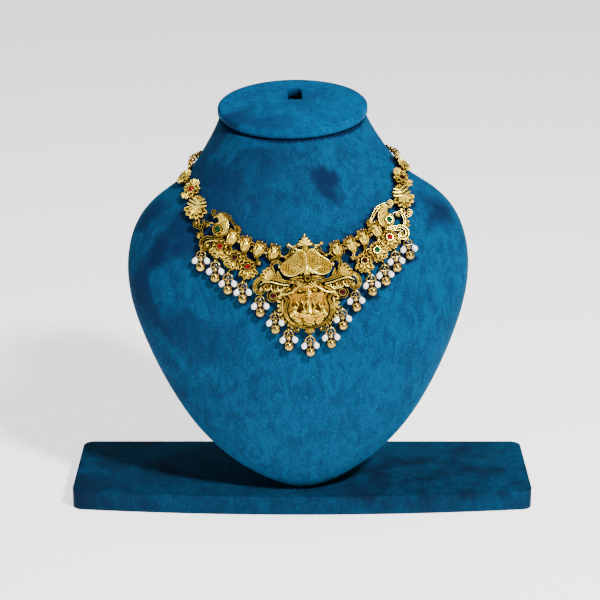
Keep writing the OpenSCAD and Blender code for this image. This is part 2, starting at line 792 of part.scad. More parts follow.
module peacock_plaque(side) {
    color(gold)
        difference() {
            union() {
                on_plate(PEACOCK, side) {
                    bud([-6.1, 0.8], 20);
                    cast_flat() {
                        polygon(spline(PEACOCK_BODY, 2));
                        stroke(PEACOCK_CREST, [1.4, 1.1, 0.8]);
                        dot([3.4, 15.2], 0.8);
                        stroke([[0.9, 13.6], [-3.2, 12.6], [-6.6, 9.0], [-9.0, 5.4]], [1.4, 1.5, 1.2]);
                        petals([-8.2, 5.2], 80, 200, 4, 2.8, 1.5);
                        stroke([[-8.8, 5.8], [-7.6, 3.4], [-6.4, 1.6]], [1.2, 1.3, 1.6], 2);
                        petals([-6.1, 0.6], 50, 160, 5, 4.9, 2.4);
                        dot([-6.1, 0.4], 2.3);
                        stroke([[-6.1, 0.4], [-3.4, 0.8], [-0.4, 2.6]], [2.0, 1.4, 1.8], 2);
                        stroke([[-5.4, -1.0], [-5.6, -4.4], [-7.0, -7.4]], [1.3, 1.1, 1.6], 2);
                        stroke(VOLUTE, [1.2, 1.5, 0.9]);
                        dot([7.2, -2.8], 1.4);
                        stroke([[6.0, -1.0], [7.2, -2.8], [9.6, -2.4], [11.0, -2.0]], [0.7, 0.8, 0.7], 2);
                        stroke([[2.6, -3.4], [4.4, -2.4], [6.0, -2.8]], [1.8, 1.2, 1.2], 2);
                        stroke([[10.0, 1.6], [11.4, 2.6], [12.4, 4.2]], [1.8, 2.6, 0.8], 2);
                        stroke(NECK_SCROLL, [1.2, 1.4, 0.9]);
                        dot([7.4, 7.7], 1.0);
                        stroke(SIDE_SCROLL, [1.1, 1.2, 0.9]);
                        dot([13.2, 9.0], 1.0);
                        stroke([[8.8, 8.8], [9.2, 9.8], [9.6, 11.0]], [1.2, 1.2, 1.2], 2);
                        stroke([[-3.2, -5.8], [-4.6, -7.0], [-6.2, -8.4]], [1.6, 1.2, 1.6], 2);
                        arm_to([-6.6, 0.3], in_plate(PEACOCK, side, tab_place(2, side, 1)), 1.7);
                        arm_to([10.2, 5.8], in_plate(PEACOCK, side, tab_place(3, side, -1)), 1.7);
                        rosette(OUTER_ROSETTE, -78);
                        difference() {
                            rosette(INNER_ROSETTE, -55);
                            dot(BESIDE_INNER, 3.3);
                        }
                    }
                    cast_raised() {
                        stroke(VOLUTE, [0.6, 0.9, 0.5]);
                        stroke(NECK_SCROLL, [0.6, 0.8, 0.5]);
                        stroke([[0.9, 14.0], [-3.4, 12.8], [-6.8, 9.2], [-9.2, 5.6]], [0.5, 0.6, 0.5]);
                        difference() {
                            polygon(spline(PEACOCK_BODY, 2));
                            translate([0.1, 1.0])
                                scale(0.84)
                                    polygon(spline(PEACOCK_BODY, 2));
                        }
                    }
                    cast_raised(0.5) {
                        rosette_rims(OUTER_ROSETTE, -78);
                        difference() {
                            rosette_rims(INNER_ROSETTE, -55);
                            dot(BESIDE_INNER, 3.6);
                        }
                        dot([7.2, -2.8], 0.9);
                    }
                    bezel(PEACOCK_STONE, stone_d);
                    bezel(INNER_ROSETTE, stone_d);
                    bezel(OUTER_ROSETTE, stone_d);
                }
                ring_tab(2, side, 1);
                ring_tab(3, side, -1);
                for (i = [0:2])
                    drop_eye(i, side);
            }
            on_plate(PEACOCK, side) {
                bezel_seat(PEACOCK_STONE, stone_d);
                bezel_seat(INNER_ROSETTE, stone_d);
                bezel_seat(OUTER_ROSETTE, stone_d);
            }
            ring_hole(2, side, 1);
            ring_hole(3, side, -1);
            for (i = [0:2])
                arch_space(i, side);
        }
}

// Link with a fan of lotus petals under a stepped crown
FAN_CROWN = [[0, 8.1], [1.6, 7.7], [3.2, 6.4], [4.3, 5.3], [4.7, 2.8], [2.8, 1.0], [0, 0.6]];
module fan_link(side) {
    color(gold)
        difference() {
            union() {
                on_plate(FAN, side) {
                    cast_flat() {
                        petals([0.4, 2.0], -155, -25, 7, 6.8, 2.6);
                        translate([0.6, 0])
                            polygon(whole(FAN_CROWN));
                        arm_to([0.3, 2.0], in_plate(FAN, side, tab_place(3, side, 1)));
                        arm_to([0.3, 2.0], in_plate(FAN, side, tab_place(4, side, -1)));
                    }
                    cast_raised(0.5)
                        petals([0.4, 2.0], -146, -34, 6, 6.2, 1.5);
                    cast_raised()
                        translate([0.6, 0]) {
                            stroke([[-4.2, 3.6], [0, 2.4], [4.2, 3.6]], [0.7, 1.0, 0.7]);
                            stroke([[-3.6, 5.8], [0, 4.8], [3.6, 5.8]], [0.7, 1.0, 0.7]);
                            stroke([[-1.6, 7.3], [0, 6.8], [1.6, 7.3]], [0.6, 0.8, 0.6]);
                        }
                }
                ring_tab(3, side, 1);
                ring_tab(4, side, -1);
            }
            ring_hole(3, side, 1);
            ring_hole(4, side, -1);
        }
}

// Link with a flower around a stone
FLORAL_STONE = [0, 0];
module floral_link(side) {
    color(gold)
        difference() {
            union() {
                on_plate(FLORAL, side) {
                    cast_flat() {
                        petals(FLORAL_STONE, 0, 315, 8, 4.6, 2.8);
                        dot(FLORAL_STONE, 2.9);
                        arm_to(FLORAL_STONE, in_plate(FLORAL, side, tab_place(4, side, 1)));
                        arm_to(FLORAL_STONE, in_plate(FLORAL, side, tab_place(5, side, -1)));
                    }
                    cast_raised(0.5)
                        petals(FLORAL_STONE, 0, 315, 8, 4.1, 1.5);
                    bezel(FLORAL_STONE, stone_d);
                }
                ring_tab(4, side, 1);
                ring_tab(5, side, -1);
            }
            on_plate(FLORAL, side)
                bezel_seat(FLORAL_STONE, stone_d);
            ring_hole(4, side, 1);
            ring_hole(5, side, -1);
        }
}

// Link of two scrolls that carries the chain
SCROLL_EYE = [0, -1.7];
module scroll_link(side) {
    color(gold)
        difference() {
            union() {
                on_plate(SCROLL, side) {
                    cast_flat() {
                        dot(SCROLL_EYE, 2.6);
                        both_halves()
                            stroke([[0, -4.2], [3.0, -3.8], [4.0, -1.9], [2.4, -0.9]], [1.4, 1.5, 1.0]);
                        arm_to([0, -0.5], in_plate(SCROLL, side, route_line(side)[0]));
                        arm_to([-1.5, -2.0], in_plate(SCROLL, side, tab_place(5, side, 1)));
                    }
                    cast_raised()
                        difference() {
                            dot(SCROLL_EYE, 2.2);
                            dot(SCROLL_EYE, 1.3);
                        }
                }
                ring_tab(5, side, 1);
                chain_tab(side);
            }
            ring_hole(5, side, 1);
            chain_tab_hole(side);
            on_plate(SCROLL, side)
                translate(SCROLL_EYE)
                    cylinder(h = 4 * plate_t, r = 0.7, center = true, $fn = 20);
        }
}

// Connecting rings of both sides, each through the holes of two tabs
module connecting_rings() {
    color(gold_dark)
        for (side = [-1, 1])
            for (i = [0:len(RINGS) - 1])
                at_ring(i, side)
                    rotate([90, 0, 0])
                        rotate_extrude($fn = 32)
                            translate([ring_d / 2, 0])
                                circle(d = ring_wire, $fn = 16);
}

// Chain route behind the neck: angle from the front in degrees and height as a share of the bust form
ROUTE = [[98, 0.882], [115, 0.884], [135, 0.886], [158, 0.887], [180, 0.887]];
ROUTE_STEPS = 14;

function chain_start_angle(side) =
    angle_at(chest_xz([side * CHAIN_START[0], CHAIN_START[1]]));

function route_rows(side) = concat(
    [[abs(chain_start_angle(side)), chest_xz([side * CHAIN_START[0], CHAIN_START[1]])[1]]],
    [for (r = ROUTE) [r[0], r[1] * bust_h]]
);

function route_point(side, q) = skin(side * q[0], q[1]) + fit * plate_lift * skin_normal(side * q[0], q[1]);
function route_rows_fine(side) = spline(route_rows(side), ROUTE_STEPS);
function route_line(side) = [for (q = route_rows_fine(side)) route_point(side, q)];
function route_normals(side) = [for (q = route_rows_fine(side)) skin_normal(side * q[0], q[1])];

// Length along a line up to each of its points
function step(p, i) = i + 1 < len(p) ? norm(p[i + 1] - p[i]) : 0;
function lengths(p) = [for (i = 0, s = 0; i < len(p); s = s + step(p, i), i = i + 1) s];

// Frame on the route at a length, x along the route and z away from the skin
function route_frame(line, normals, length_at, s) =
    let (
        n = len(line) - 1,
        i = min(max([for (k = [0:n]) if (length_at[k] <= s) k]), n - 1),
        t = (s - length_at[i]) / (length_at[i + 1] - length_at[i]),
        x = unit(line[i + 1] - line[i]),
        raw = normals[i] + (normals[i + 1] - normals[i]) * t,
        y = unit(cross(raw, x))
    )
    frame(x, y, cross(x, y), line[i] + (line[i + 1] - line[i]) * t);

// Links of one side share what is left of the route evenly, and the first and last stand upright
most_pitch = link_d - link_wire - 0.1;
function link_run(total) = total - clasp_l / 2 - link_d;
function link_count(total) = 2 * ceil((link_run(total) / most_pitch + 1 - 1) / 2) + 1;

module chain(side) {
    line = route_line(side);
    normals = route_normals(side);
    length_at = lengths(line);
    total = length_at[len(line) - 1];
    count = link_count(total);
    pitch = link_run(total) / (count - 1);
    color(gold_dark)
        on_bust()
            for (i = [0:count - 1])
                multmatrix(route_frame(line, normals, length_at, link_d / 2 + i * pitch))
                    rotate([i % 2 == 0 ? 90 : 0, 0, 0])
                        rotate_extrude($fn = 32)
                            translate([link_d / 2, 0])
                                circle(d = link_wire, $fn = 16);
}

module at_chain_start(side) {
    line = route_line(side);
    on_bust()
        multmatrix(route_frame(line, route_normals(side), lengths(line), 0))
            children();
}

module chain_tab(side) {
    at_chain_start(side)
        translate([0, 0, -plate_t / 2])
            cylinder(h = plate_t, r = link_hole_r + 0.55, $fn = 24);
}

module chain_tab_hole(side) {
    at_chain_start(side)
        translate([0, 0, -plate_t])
            cylinder(h = 2 * plate_t, r = link_hole_r, $fn = 24);
}

// Plain clasp behind the neck, with a tab at each end for the last links
module clasp() {
    hole_r = link_hole_r + 0.2;
    line = route_line(1);
    length_at = lengths(line);
    total = length_at[len(line) - 1];
    color(gold)
        on_bust()
            multmatrix(route_frame(line, route_normals(1), length_at, total - eps))
                difference() {
                    union() {
                        translate([-clasp_l / 2 + 1.6, 0, 0])
                            rotate([0, 90, 0])
                                cylinder(h = clasp_l - 3.2, d = clasp_d, $fn = 32);
                        for (s = [-1, 1])
                            translate([s * clasp_l / 2, 0, -plate_t / 2]) {
                                cylinder(h = plate_t, r = hole_r + 0.55, $fn = 24);
                                translate([-s * 1.3, 0, plate_t / 2])
                                    cube([2, 1.2, plate_t], center = true);
                            }
                    }
                    for (s = [-1, 1])
                        translate([s * clasp_l / 2, 0, -plate_t])
                            cylinder(h = 2 * plate_t, r = hole_r, $fn = 24);
                }
}

// Cut stone with a table, eight crown facets and eight pavilion facets, of the diameter given
module cut_stone(d) {
    rotate_extrude($fn = 8)
        polygon([
            [0, stone_seat + 0.1], [0.25 * d, stone_seat + 0.1], [0.5 * d, 1.25], [0.5 * d, 1.5],
            [0.31 * d, 2.15], [0, 2.15]
        ]);
}

// Stones of one side: name, casting, place on it, colour
SIDE_STONES = [
    ["leaf_stone", CENTRE, LEAF_STONE, [0.35, 0.02, 0.05]],
    ["lotus_stone", LOTUS, LOTUS_STONE, [0.75, 0.02, 0.08]],
    ["inner_stone", PEACOCK, INNER_ROSETTE, [0.10, 0.30, 0.14]],
    ["outer_stone", PEACOCK, OUTER_ROSETTE, [0.62, 0.02, 0.07]],
    ["peacock_stone", PEACOCK, PEACOCK_STONE, [0.05, 0.42, 0.20]],
    ["floral_stone", FLORAL, FLORAL_STONE, [0.70, 0.02, 0.08]]
];

module side_stone(row, side) {
    color(row[3])
        on_plate(row[1], side)
            translate(row[2])
                cut_stone(stone_d);
}

module crest_stone() {
    color([0.85, 0.65, 0.15])
        on_plate(CENTRE, 1)
            translate(CREST_STONE)
                cut_stone(small_stone_d);
}

module navel_stone() {
    color([0.15, 0.03, 0.05])
        on_plate(CENTRE, 1)
            translate(NAVEL_STONE)
                cut_stone(small_stone_d);
}

// Drop below its arch: feet of the arch, pins that carry the pearls, small bead and ball
foot_angle = 10;
foot = [arch_r * cos(foot_angle), arch_y - arch_r * sin(foot_angle)];
pearl_at = [foot[0] + 0.85, foot[1] - 2.45];
pin_turn = atan2(pearl_at[1] - foot[1], pearl_at[0] - foot[0]);
pin_l = norm(pearl_at - foot) + pearl_d / 2 - 0.15;
pin_wire = pearl_bore - 0.3;
bead_y = (ball_d / 2 + foot[1]) / 2;

module drop(i, side) {
    color(gold)
        at_drop(i, side) {
            translate([0, arch_y, 0])
                rotate(-foot_angle)
                    rotate_extrude(angle = 180 + 2 * foot_angle, $fn = 48)
                        translate([arch_r, 0])
                            circle(d = arch_wire, $fn = 16);
            translate([-foot[0], foot[1], 0])
                rotate([0, 90, 0])
                    cylinder(h = 2 * foot[0], d = pin_wire, $fn = 16);
            rotate([-90, 0, 0])
                cylinder(h = foot[1], d = pin_wire, $fn = 16);
            translate([0, bead_y, 0])
                sphere(d = bead_d, $fn = 24);
            sphere(d = ball_d, $fn = 32);
            for (m = [0, 1])
                mirror([m, 0, 0])
                    translate([foot[0], foot[1], 0]) {
                        sphere(d = arch_wire + 0.25, $fn = 16);
                        rotate([0, 90, pin_turn])
                            cylinder(h = pin_l, d = pin_wire, $fn = 16);
                    }
        }
}

// Drilled pearls on the pins of one drop
module drop_pearls(i, side) {
    color([0.95, 0.94, 0.92])
        at_drop(i, side)
            for (m = [0, 1])
                mirror([m, 0, 0])
                    translate([pearl_at[0], pearl_at[1], 0])
                        rotate([0, 90, pin_turn])
                            difference() {
                                sphere(d = pearl_d, $fn = 32);
                                cylinder(h = 2 * pearl_d, d = pearl_bore, center = true, $fn = 16);
                            }
}

module side_pearls(side) {
    for (i = [0:MIDDLE_DROP - 1])
        drop_pearls(i, side);
}

// Bust form: rings of points from the tip up, closed by a foot and by the flat top of the neck
RING_POINTS = 44;
section_heights = [
    for (i = [0:LAST - 1]) for (t = [0, 0.5])
        (1 - t) * SECTIONS[i][HEIGHT] + t * SECTIONS[i + 1][HEIGHT],
    1
];
module bust_shell() {
    rows = len(section_heights);
    points = [
        for (s = section_heights) for (j = [0:RING_POINTS - 1]) skin(360 * j / RING_POINTS, s * bust_h),
        [0, 0, 0],
        [0, rim_y(bust_h), bust_h]
    ];
    walls = [
        for (i = [0:rows - 2]) for (j = [0:RING_POINTS - 1])
            let (a = i * RING_POINTS + j, b = i * RING_POINTS + (j + 1) % RING_POINTS)
            each [[a, a + RING_POINTS, b], [b, a + RING_POINTS, b + RING_POINTS]]
    ];
    foot_faces = [for (j = [0:RING_POINTS - 1]) [rows * RING_POINTS, j, (j + 1) % RING_POINTS]];
    top_row = (rows - 1) * RING_POINTS;
    top_faces = [
        for (j = [0:RING_POINTS - 1]) [rows * RING_POINTS + 1, top_row + (j + 1) % RING_POINTS, top_row + j]
    ];
    polyhedron(points, concat(walls, foot_faces, top_faces), convexity = 6);
}

module on_neck() {
    on_bust()
        translate([0, rim_y(bust_h), bust_h])
            rotate([neck_tilt, 0, 0])
                children();
}

module slot_prism(low, high) {
    translate([slot_x, slot_back, low])
        linear_extrude(high - low) {
            translate([0, slot_l / 2 - slot_w / 2])
                circle(d = slot_w, $fn = 32);
            translate([-slot_w / 2, -slot_l / 2])
                square([slot_w, slot_l - slot_w / 2]);
        }
}

module bust_form() {
    color(velvet)
        difference() {
            on_bust()
                bust_shell();
            on_neck()
                slot_prism(-pocket_d, 1);
        }
}

// Layer of the cap between two heights, set in from its full outline
module cap_disc(low, high, inset) {
    translate([0, 0, low])
        linear_extrude(high - low)
            polygon([
                for (a = [0:5:355]) [(cap_w / 2 - inset) * cos(a), (cap_d / 2 - inset) * sin(a)]
            ]);
}

module neck_cap() {
    color(velvet)
        on_neck()
            translate([0, 0, seat_gap])
                difference() {
                    union() {
                        cap_disc(0, cap_t, cap_edge);
                        cap_disc(cap_edge, cap_t - cap_edge, 0);
                    }
                    slot_prism(-1, cap_t + 1);
                }
}

// Board that props the bust form from behind
prop_gap = 0.3;
module rear_prop() {
    rest = [for (t = [0:0.25:1]) let (z = prop_h - prop_rest * t) [skin(180, z)[1] + prop_gap, z]];
    color(velvet)
        difference() {
            on_bust()
                rotate([90, 0, 90])
                    translate([0, 0, -prop_w / 2])
                        linear_extrude(prop_w)
                            polygon(concat(
                                rest,
                                [[prop_foot - prop_t, -base_t / 2], [prop_foot, -base_t / 2]],
                                [[rest[0][0] + 4, prop_h]]
                            ));
            translate([0, 0, base_t + seat_gap - base_d])
                cube([base_w, 4 * base_d, 2 * base_d], center = true);
        }
}

module base_board() {
    front = [
        for (t = [-1:0.125:1])
            let (x = t * (base_w / 2 - base_corner))
            [x, -base_d / 2 - base_bow * (1 - t * t)]
    ];
    corner = function (sx, sy, a0) [
        for (a = [15:15:75])
            [sx * (base_w / 2 - base_corner), sy * (base_d / 2 - base_corner)]
            + base_corner * [cos(a0 + a), sin(a0 + a)]
    ];
    color(velvet)
        linear_extrude(base_t)
            polygon(concat(
                front,
                corner(1, -1, 270),
                [[base_w / 2, -base_d / 2 + base_corner], [base_w / 2, base_d / 2 - base_corner]],
                corner(1, 1, 0),
                [[base_w / 2 - base_corner, base_d / 2], [-base_w / 2 + base_corner, base_d / 2]],
                corner(-1, 1, 90),
                [[-base_w / 2, base_d / 2 - base_corner], [-base_w / 2, -base_d / 2 + base_corner]],
                corner(-1, -1, 180)
            ));
}

SIDES = [["left", -1], ["right", 1]];
LINKS = [
    "bud_link", "lotus_plaque", "peacock_plaque", "fan_link", "floral_link", "scroll_link", "chain", "pearls"
];

bust_form();
neck_cap();
rear_prop();
base_board();
centre_plaque();
crest_stone();
navel_stone();
connecting_rings();
clasp();
drop(MIDDLE_DROP, 1);  // middle_drop
drop_pearls(MIDDLE_DROP, 1);  // middle_pearls
for (s = SIDES) {
    bud_link(s[1]);
    lotus_plaque(s[1]);
    peacock_plaque(s[1]);
    fan_link(s[1]);
    floral_link(s[1]);
    scroll_link(s[1]);
    chain(s[1]);
    side_pearls(s[1]);
    for (r = SIDE_STONES)
        side_stone(r, s[1]);
    for (i = [0:MIDDLE_DROP - 1])
        drop(i, s[1]);
}
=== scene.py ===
"""Temple jewellery necklace on a velvet neck bust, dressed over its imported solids."""

import json
import logging
import math
from contextlib import contextmanager
from dataclasses import dataclass
from enum import Enum
from functools import partialmethod
from typing import Any, Callable, Iterable, Iterator, Sequence

import bpy
import numpy as np
from mathutils import Matrix, Vector, kdtree

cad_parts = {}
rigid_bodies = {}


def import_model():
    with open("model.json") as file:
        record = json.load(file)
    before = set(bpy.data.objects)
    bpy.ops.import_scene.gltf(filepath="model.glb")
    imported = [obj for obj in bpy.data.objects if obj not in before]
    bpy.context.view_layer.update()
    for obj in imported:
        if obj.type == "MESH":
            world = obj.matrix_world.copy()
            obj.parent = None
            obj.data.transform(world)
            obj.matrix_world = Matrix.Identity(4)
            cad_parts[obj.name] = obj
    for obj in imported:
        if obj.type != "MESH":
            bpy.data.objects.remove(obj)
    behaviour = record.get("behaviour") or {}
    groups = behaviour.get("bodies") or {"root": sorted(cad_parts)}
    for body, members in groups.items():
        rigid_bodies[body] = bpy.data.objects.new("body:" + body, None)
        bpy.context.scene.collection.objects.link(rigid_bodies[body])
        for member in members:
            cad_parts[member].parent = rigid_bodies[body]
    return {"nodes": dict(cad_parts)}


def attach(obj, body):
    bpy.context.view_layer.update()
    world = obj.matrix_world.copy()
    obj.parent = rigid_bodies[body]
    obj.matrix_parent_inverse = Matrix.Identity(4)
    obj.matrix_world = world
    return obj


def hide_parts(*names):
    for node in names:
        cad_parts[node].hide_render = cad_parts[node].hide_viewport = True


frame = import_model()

log = logging.getLogger("necklace")

MM = 0.001
SIDES = {"left": -1, "right": 1}
Point = tuple[float, ...]
Widths = tuple[float, float, float]


# Workshop: selecting, joining and placing meshes

def pick(*objects: bpy.types.Object) -> bpy.types.Object:
    """Selects only these objects and makes the first one active.

    Args:
        objects: The objects to select.

    Returns:
        The first one.
    """
    bpy.ops.object.select_all(action="DESELECT")
    for item in objects:
        item.select_set(True)
    bpy.context.view_layer.objects.active = objects[0]
    return objects[0]


@contextmanager
def editing(item: bpy.types.Object, everything: bool = False) -> Iterator[None]:
    """Edit mode on one object, with all its points selected if asked.

    Args:
        item: The object.
        everything: True to select all its points first.
    """
    pick(item)
    bpy.ops.object.mode_set(mode="EDIT")
    if everything:
        bpy.ops.mesh.select_all(action="SELECT")
    yield
    bpy.ops.object.mode_set(mode="OBJECT")


def started(add: Callable[..., Any], **settings: Any) -> bpy.types.Object:
    """Adds a primitive and puts its place and turn in its mesh.

    Args:
        add: The operator that adds it.
        settings: Its size, place and turn.

    Returns:
        The new object.
    """
    bpy.ops.object.select_all(action="DESELECT")
    add(**settings)
    item = pick(bpy.context.object)
    bpy.ops.object.transform_apply(location=True, rotation=True, scale=True)
    return item


def joined(objects: Sequence[bpy.types.Object], name: str) -> bpy.types.Object:
    """Joins objects into one mesh.

    Args:
        objects: The meshes to join.
        name: Name of the joined object.

    Returns:
        The joined object.
    """
    whole = pick(*objects)
    if len(objects) > 1:
        bpy.ops.object.join()
    whole.name = whole.data.name = name
    return whole


def applied(item: bpy.types.Object, kind: str, **settings: Any) -> None:
    """Adds one modifier and applies it.

    Args:
        item: The mesh that it shapes.
        kind: The modifier's type.
        settings: The modifier's own settings.
    """
    pick(item)
    modifier = item.modifiers.new(kind.title(), kind)
    for key, value in settings.items():
        setattr(modifier, key, value)
    bpy.ops.object.modifier_apply(modifier=modifier.name)


def rounded(item: bpy.types.Object, width: float, segments: int, angle: float) -> None:
    """Rounds the edges that are sharper than an angle in degrees."""
    applied(item, "BEVEL", width=width, segments=segments, limit_method="ANGLE",
            angle_limit=math.radians(angle))


def smooth(item: bpy.types.Object, angle: float = 40.0) -> bpy.types.Object:
    """Shades an object smooth up to an angle.

    Args:
        item: The object.
        angle: The angle in degrees.

    Returns:
        The same object.
    """
    pick(item)
    bpy.ops.object.shade_smooth_by_angle(angle=math.radians(angle))
    return item


def tidied(item: bpy.types.Object, merge: float = 1e-5) -> bpy.types.Object:
    """Merges doubled points and turns the faces outwards.

    Args:
        item: A mesh made of closed shells.
        merge: Distance below which points are merged.

    Returns:
        The same object.
    """
    with editing(item, True):
        bpy.ops.mesh.remove_doubles(threshold=merge)
        bpy.ops.mesh.normals_make_consistent(inside=False)
    return item


def placed(item: bpy.types.Object, place: Matrix) -> bpy.types.Object:
    """Moves a mesh's points by a matrix and keeps its faces outwards.

    Args:
        item: The mesh.
        place: The matrix.

    Returns:
        The same object.
    """
    item.data.transform(place)
    if place.determinant() < 0:
        item.data.flip_normals()
    item.data.update()
    return item


def another(item: bpy.types.Object, name: str) -> bpy.types.Object:
    """A copy of an object with its own mesh.

    Args:
        item: The object to copy.
        name: Name of the copy.

    Returns:
        The copy.
    """
    copy = item.copy()
    copy.data = item.data.copy()
    copy.name = copy.data.name = name
    bpy.context.collection.objects.link(copy)
    return copy


def solid_copy(node: str, name: str) -> bpy.types.Object:
    """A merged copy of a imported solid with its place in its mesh.

    Args:
        node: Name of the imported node.
        name: Name of the copy.

    Returns:
        The copy, free of the node's parent and materials.
    """
    source = frame["nodes"][node]
    data = source.data.copy()
    data.transform(source.matrix_world)
    data.materials.clear()
    copy = bpy.data.objects.new(name, data)
    bpy.context.collection.objects.link(copy)
    with editing(copy, True):
        bpy.ops.mesh.remove_doubles(threshold=2e-6)
    bpy.ops.mesh.customdata_custom_splitnormals_clear()
    return copy


def choose(item: bpy.types.Object, test: Callable[[Vector], bool]) -> None:
    """Selects the points of a mesh in object mode.

    Args:
        item: The mesh.
        test: Says of a point's place whether it is selected.
    """
    data = item.data
    data.polygons.foreach_set("select", np.zeros(len(data.polygons), bool))
    data.edges.foreach_set("select", np.zeros(len(data.edges), bool))
    data.vertices.foreach_set("select", np.array([test(v.co) for v in data.vertices], bool))


def points_of(item: bpy.types.Object) -> np.ndarray:
    """Places of a mesh's points.

    Args:
        item: The mesh.

    Returns:
        The places, one a row.
    """
    places = np.zeros(len(item.data.vertices) * 3)
    item.data.vertices.foreach_get("co", places)
    return places.reshape(-1, 3)


def noted(item: bpy.types.Object, name: str, values: np.ndarray) -> bpy.types.Object:
    """Writes a number for each point of a mesh, which its finish reads.

    Args:
        item: The mesh.
        name: Name of the attribute.
        values: The number of each point.

    Returns:
        The same object.
    """
    attribute = item.data.attributes.new(name, "FLOAT", "POINT")
    attribute.data.foreach_set("value", values.astype(np.float32))
    return item


# Finishes: shader maths as Python expressions

class Link:
    """A shader value that Python's operators join to Math nodes."""

    def __init__(self, paint: "Paint", socket: bpy.types.NodeSocket) -> None:
        """Wraps one output socket of a paint's tree."""
        self.paint = paint
        self.socket = socket

    def _math(self, operation: str, first: Any, second: Any) -> "Link":
        """One Math node of two values."""
        return self.paint.node("ShaderNodeMath", {"operation": operation}, {0: first, 1: second})

    def __add__(self, other: Any) -> "Link":
        """Sum."""
        return self._math("ADD", self, other)

    __radd__ = __add__

    def __sub__(self, other: Any) -> "Link":
        """Difference."""
        return self._math("SUBTRACT", self, other)

    def __rsub__(self, other: Any) -> "Link":
        """Difference from a number."""
        return self._math("SUBTRACT", other, self)

    def __mul__(self, other: Any) -> "Link":
        """Product."""
        return self._math("MULTIPLY", self, other)

    __rmul__ = __mul__

    def over(self, other: Any) -> "Link":
        """The larger of two values."""
        return self._math("MAXIMUM", self, other)

    def between(self, low: float, high: float) -> "Link":
        """Smooth share of the way from a low to a high value.

        Args:
            low: Value that gives 0.
            high: Value that gives 1.

        Returns:
            The share.
        """
        values = {0: self, 1: low, 2: high, 3: 0.0, 4: 1.0}
        return self.paint.node("ShaderNodeMapRange", {"interpolation_type": "SMOOTHSTEP"}, values)


class Paint:
    """One material with its shader and the nodes that feed it."""

    def __init__(self, name: str) -> None:
        """Starts an empty material with a Principled shader.

        Args:
            name: The material's name.
        """
        self.material = bpy.data.materials.new(name)
        self.material.use_nodes = True
        self.tree = self.material.node_tree
        self.tree.nodes.clear()
        output = self.tree.nodes.new("ShaderNodeOutputMaterial")
        self.shader = self.tree.nodes.new("ShaderNodeBsdfPrincipled")
        self.tree.links.new(self.shader.outputs[0], output.inputs[0])

    def _feed(self, socket: bpy.types.NodeSocket, value: Any) -> None:
        """Links or sets one input.

        Args:
            socket: The input.
            value: A link or a plain value.
        """
        if isinstance(value, Link):
            self.tree.links.new(value.socket, socket)
        elif socket.type == "RGBA" and len(value) == 3:
            socket.default_value = (*value, 1.0)
        else:
            socket.default_value = value

    def node(self, kind: str, settings: dict[str, Any], values: dict[Any, Any], output: Any = 0) -> Link:
        """Adds one node.

        Args:
            kind: The node's type.
            settings: Its own settings, with a ramp's stops under "stops".
            values: Values or links of its inputs.
            output: Name or number of the output that is wanted.

        Returns:
            That output.
        """
        made = self.tree.nodes.new(kind)
        for key, value in settings.items():
            if key == "stops":
                ramp = made.color_ramp
                while len(ramp.elements) < len(value):
                    ramp.elements.new(0.5)
                for element, (place, colour) in zip(ramp.elements, value):
                    element.position = place
                    element.color = (*colour, 1.0)
            else:
                setattr(made, key, value)
        for key, value in values.items():
            self._feed(made.inputs[key], value)
        return Link(self, made.outputs[output])

    def set(self, **values: Any) -> "Paint":
        """Sets or feeds the shader's sockets.

        Args:
            values: Values or links by the socket's name, written with _ for a space.

        Returns:
            The same paint.
        """
        for key, value in values.items():
            self._feed(self.shader.inputs[key.replace("_", " ")], value)
        return self

    def place(self, scale: Point = (1.0, 1.0, 1.0), turn: Point = (0.0, 0.0, 0.0)) -> Link:
        """Object coordinates, stretched and turned."""
        place = self.node("ShaderNodeTexCoord", {}, {}, "Object")
        return self.node("ShaderNodeMapping", {}, {"Vector": place, "Scale": scale, "Rotation": turn})

    def attribute(self, name: str) -> Link:
        """A number written on the points of the mesh."""
        settings = {"attribute_type": "GEOMETRY", "attribute_name": name}
        return self.node("ShaderNodeAttribute", settings, {}, "Fac")

    def measure(self, operation: str, place: Link, other: Point = (0.0, 0.0, 0.0)) -> Link:
        """A number from a place and a vector, such as their distance."""
        values = {0: place, 1: other}
        return self.node("ShaderNodeVectorMath", {"operation": operation}, values, "Value")

    def noise(self, place: Link, scale: float, detail: float = 3.0, distortion: float = 0.0) -> Link:
        """Cloudy noise of a scale per metre."""
        values = {"Vector": place, "Scale": scale, "Detail": detail, "Distortion": distortion}
        return self.node("ShaderNodeTexNoise", {}, values, "Fac")

    def cells(self, place: Link, scale: float) -> Link:
        """Distance from the middles of random cells."""
        return self.node("ShaderNodeTexVoronoi", {}, {"Vector": place, "Scale": scale}, "Distance")

    def ramp(self, factor: Link, *stops: tuple[float, Point]) -> Link:
        """Colour along a ramp."""
        return self.node("ShaderNodeValToRGB", {"stops": stops}, {0: factor}, "Color")

    def mix(self, factor: Any, first: Any, second: Any) -> Link:
        """Mix of two colours."""
        return self.node("ShaderNodeMix", {"data_type": "RGBA"}, {0: factor, 6: first, 7: second}, 2)

    def bump(self, height: Link, strength: float, distance: float) -> Link:
        """Normal of a bumpy surface, its heights given as a share of a distance in metres."""
        values = {"Height": height, "Strength": strength, "Distance": distance}
        return self.node("ShaderNodeBump", {}, values, "Normal")


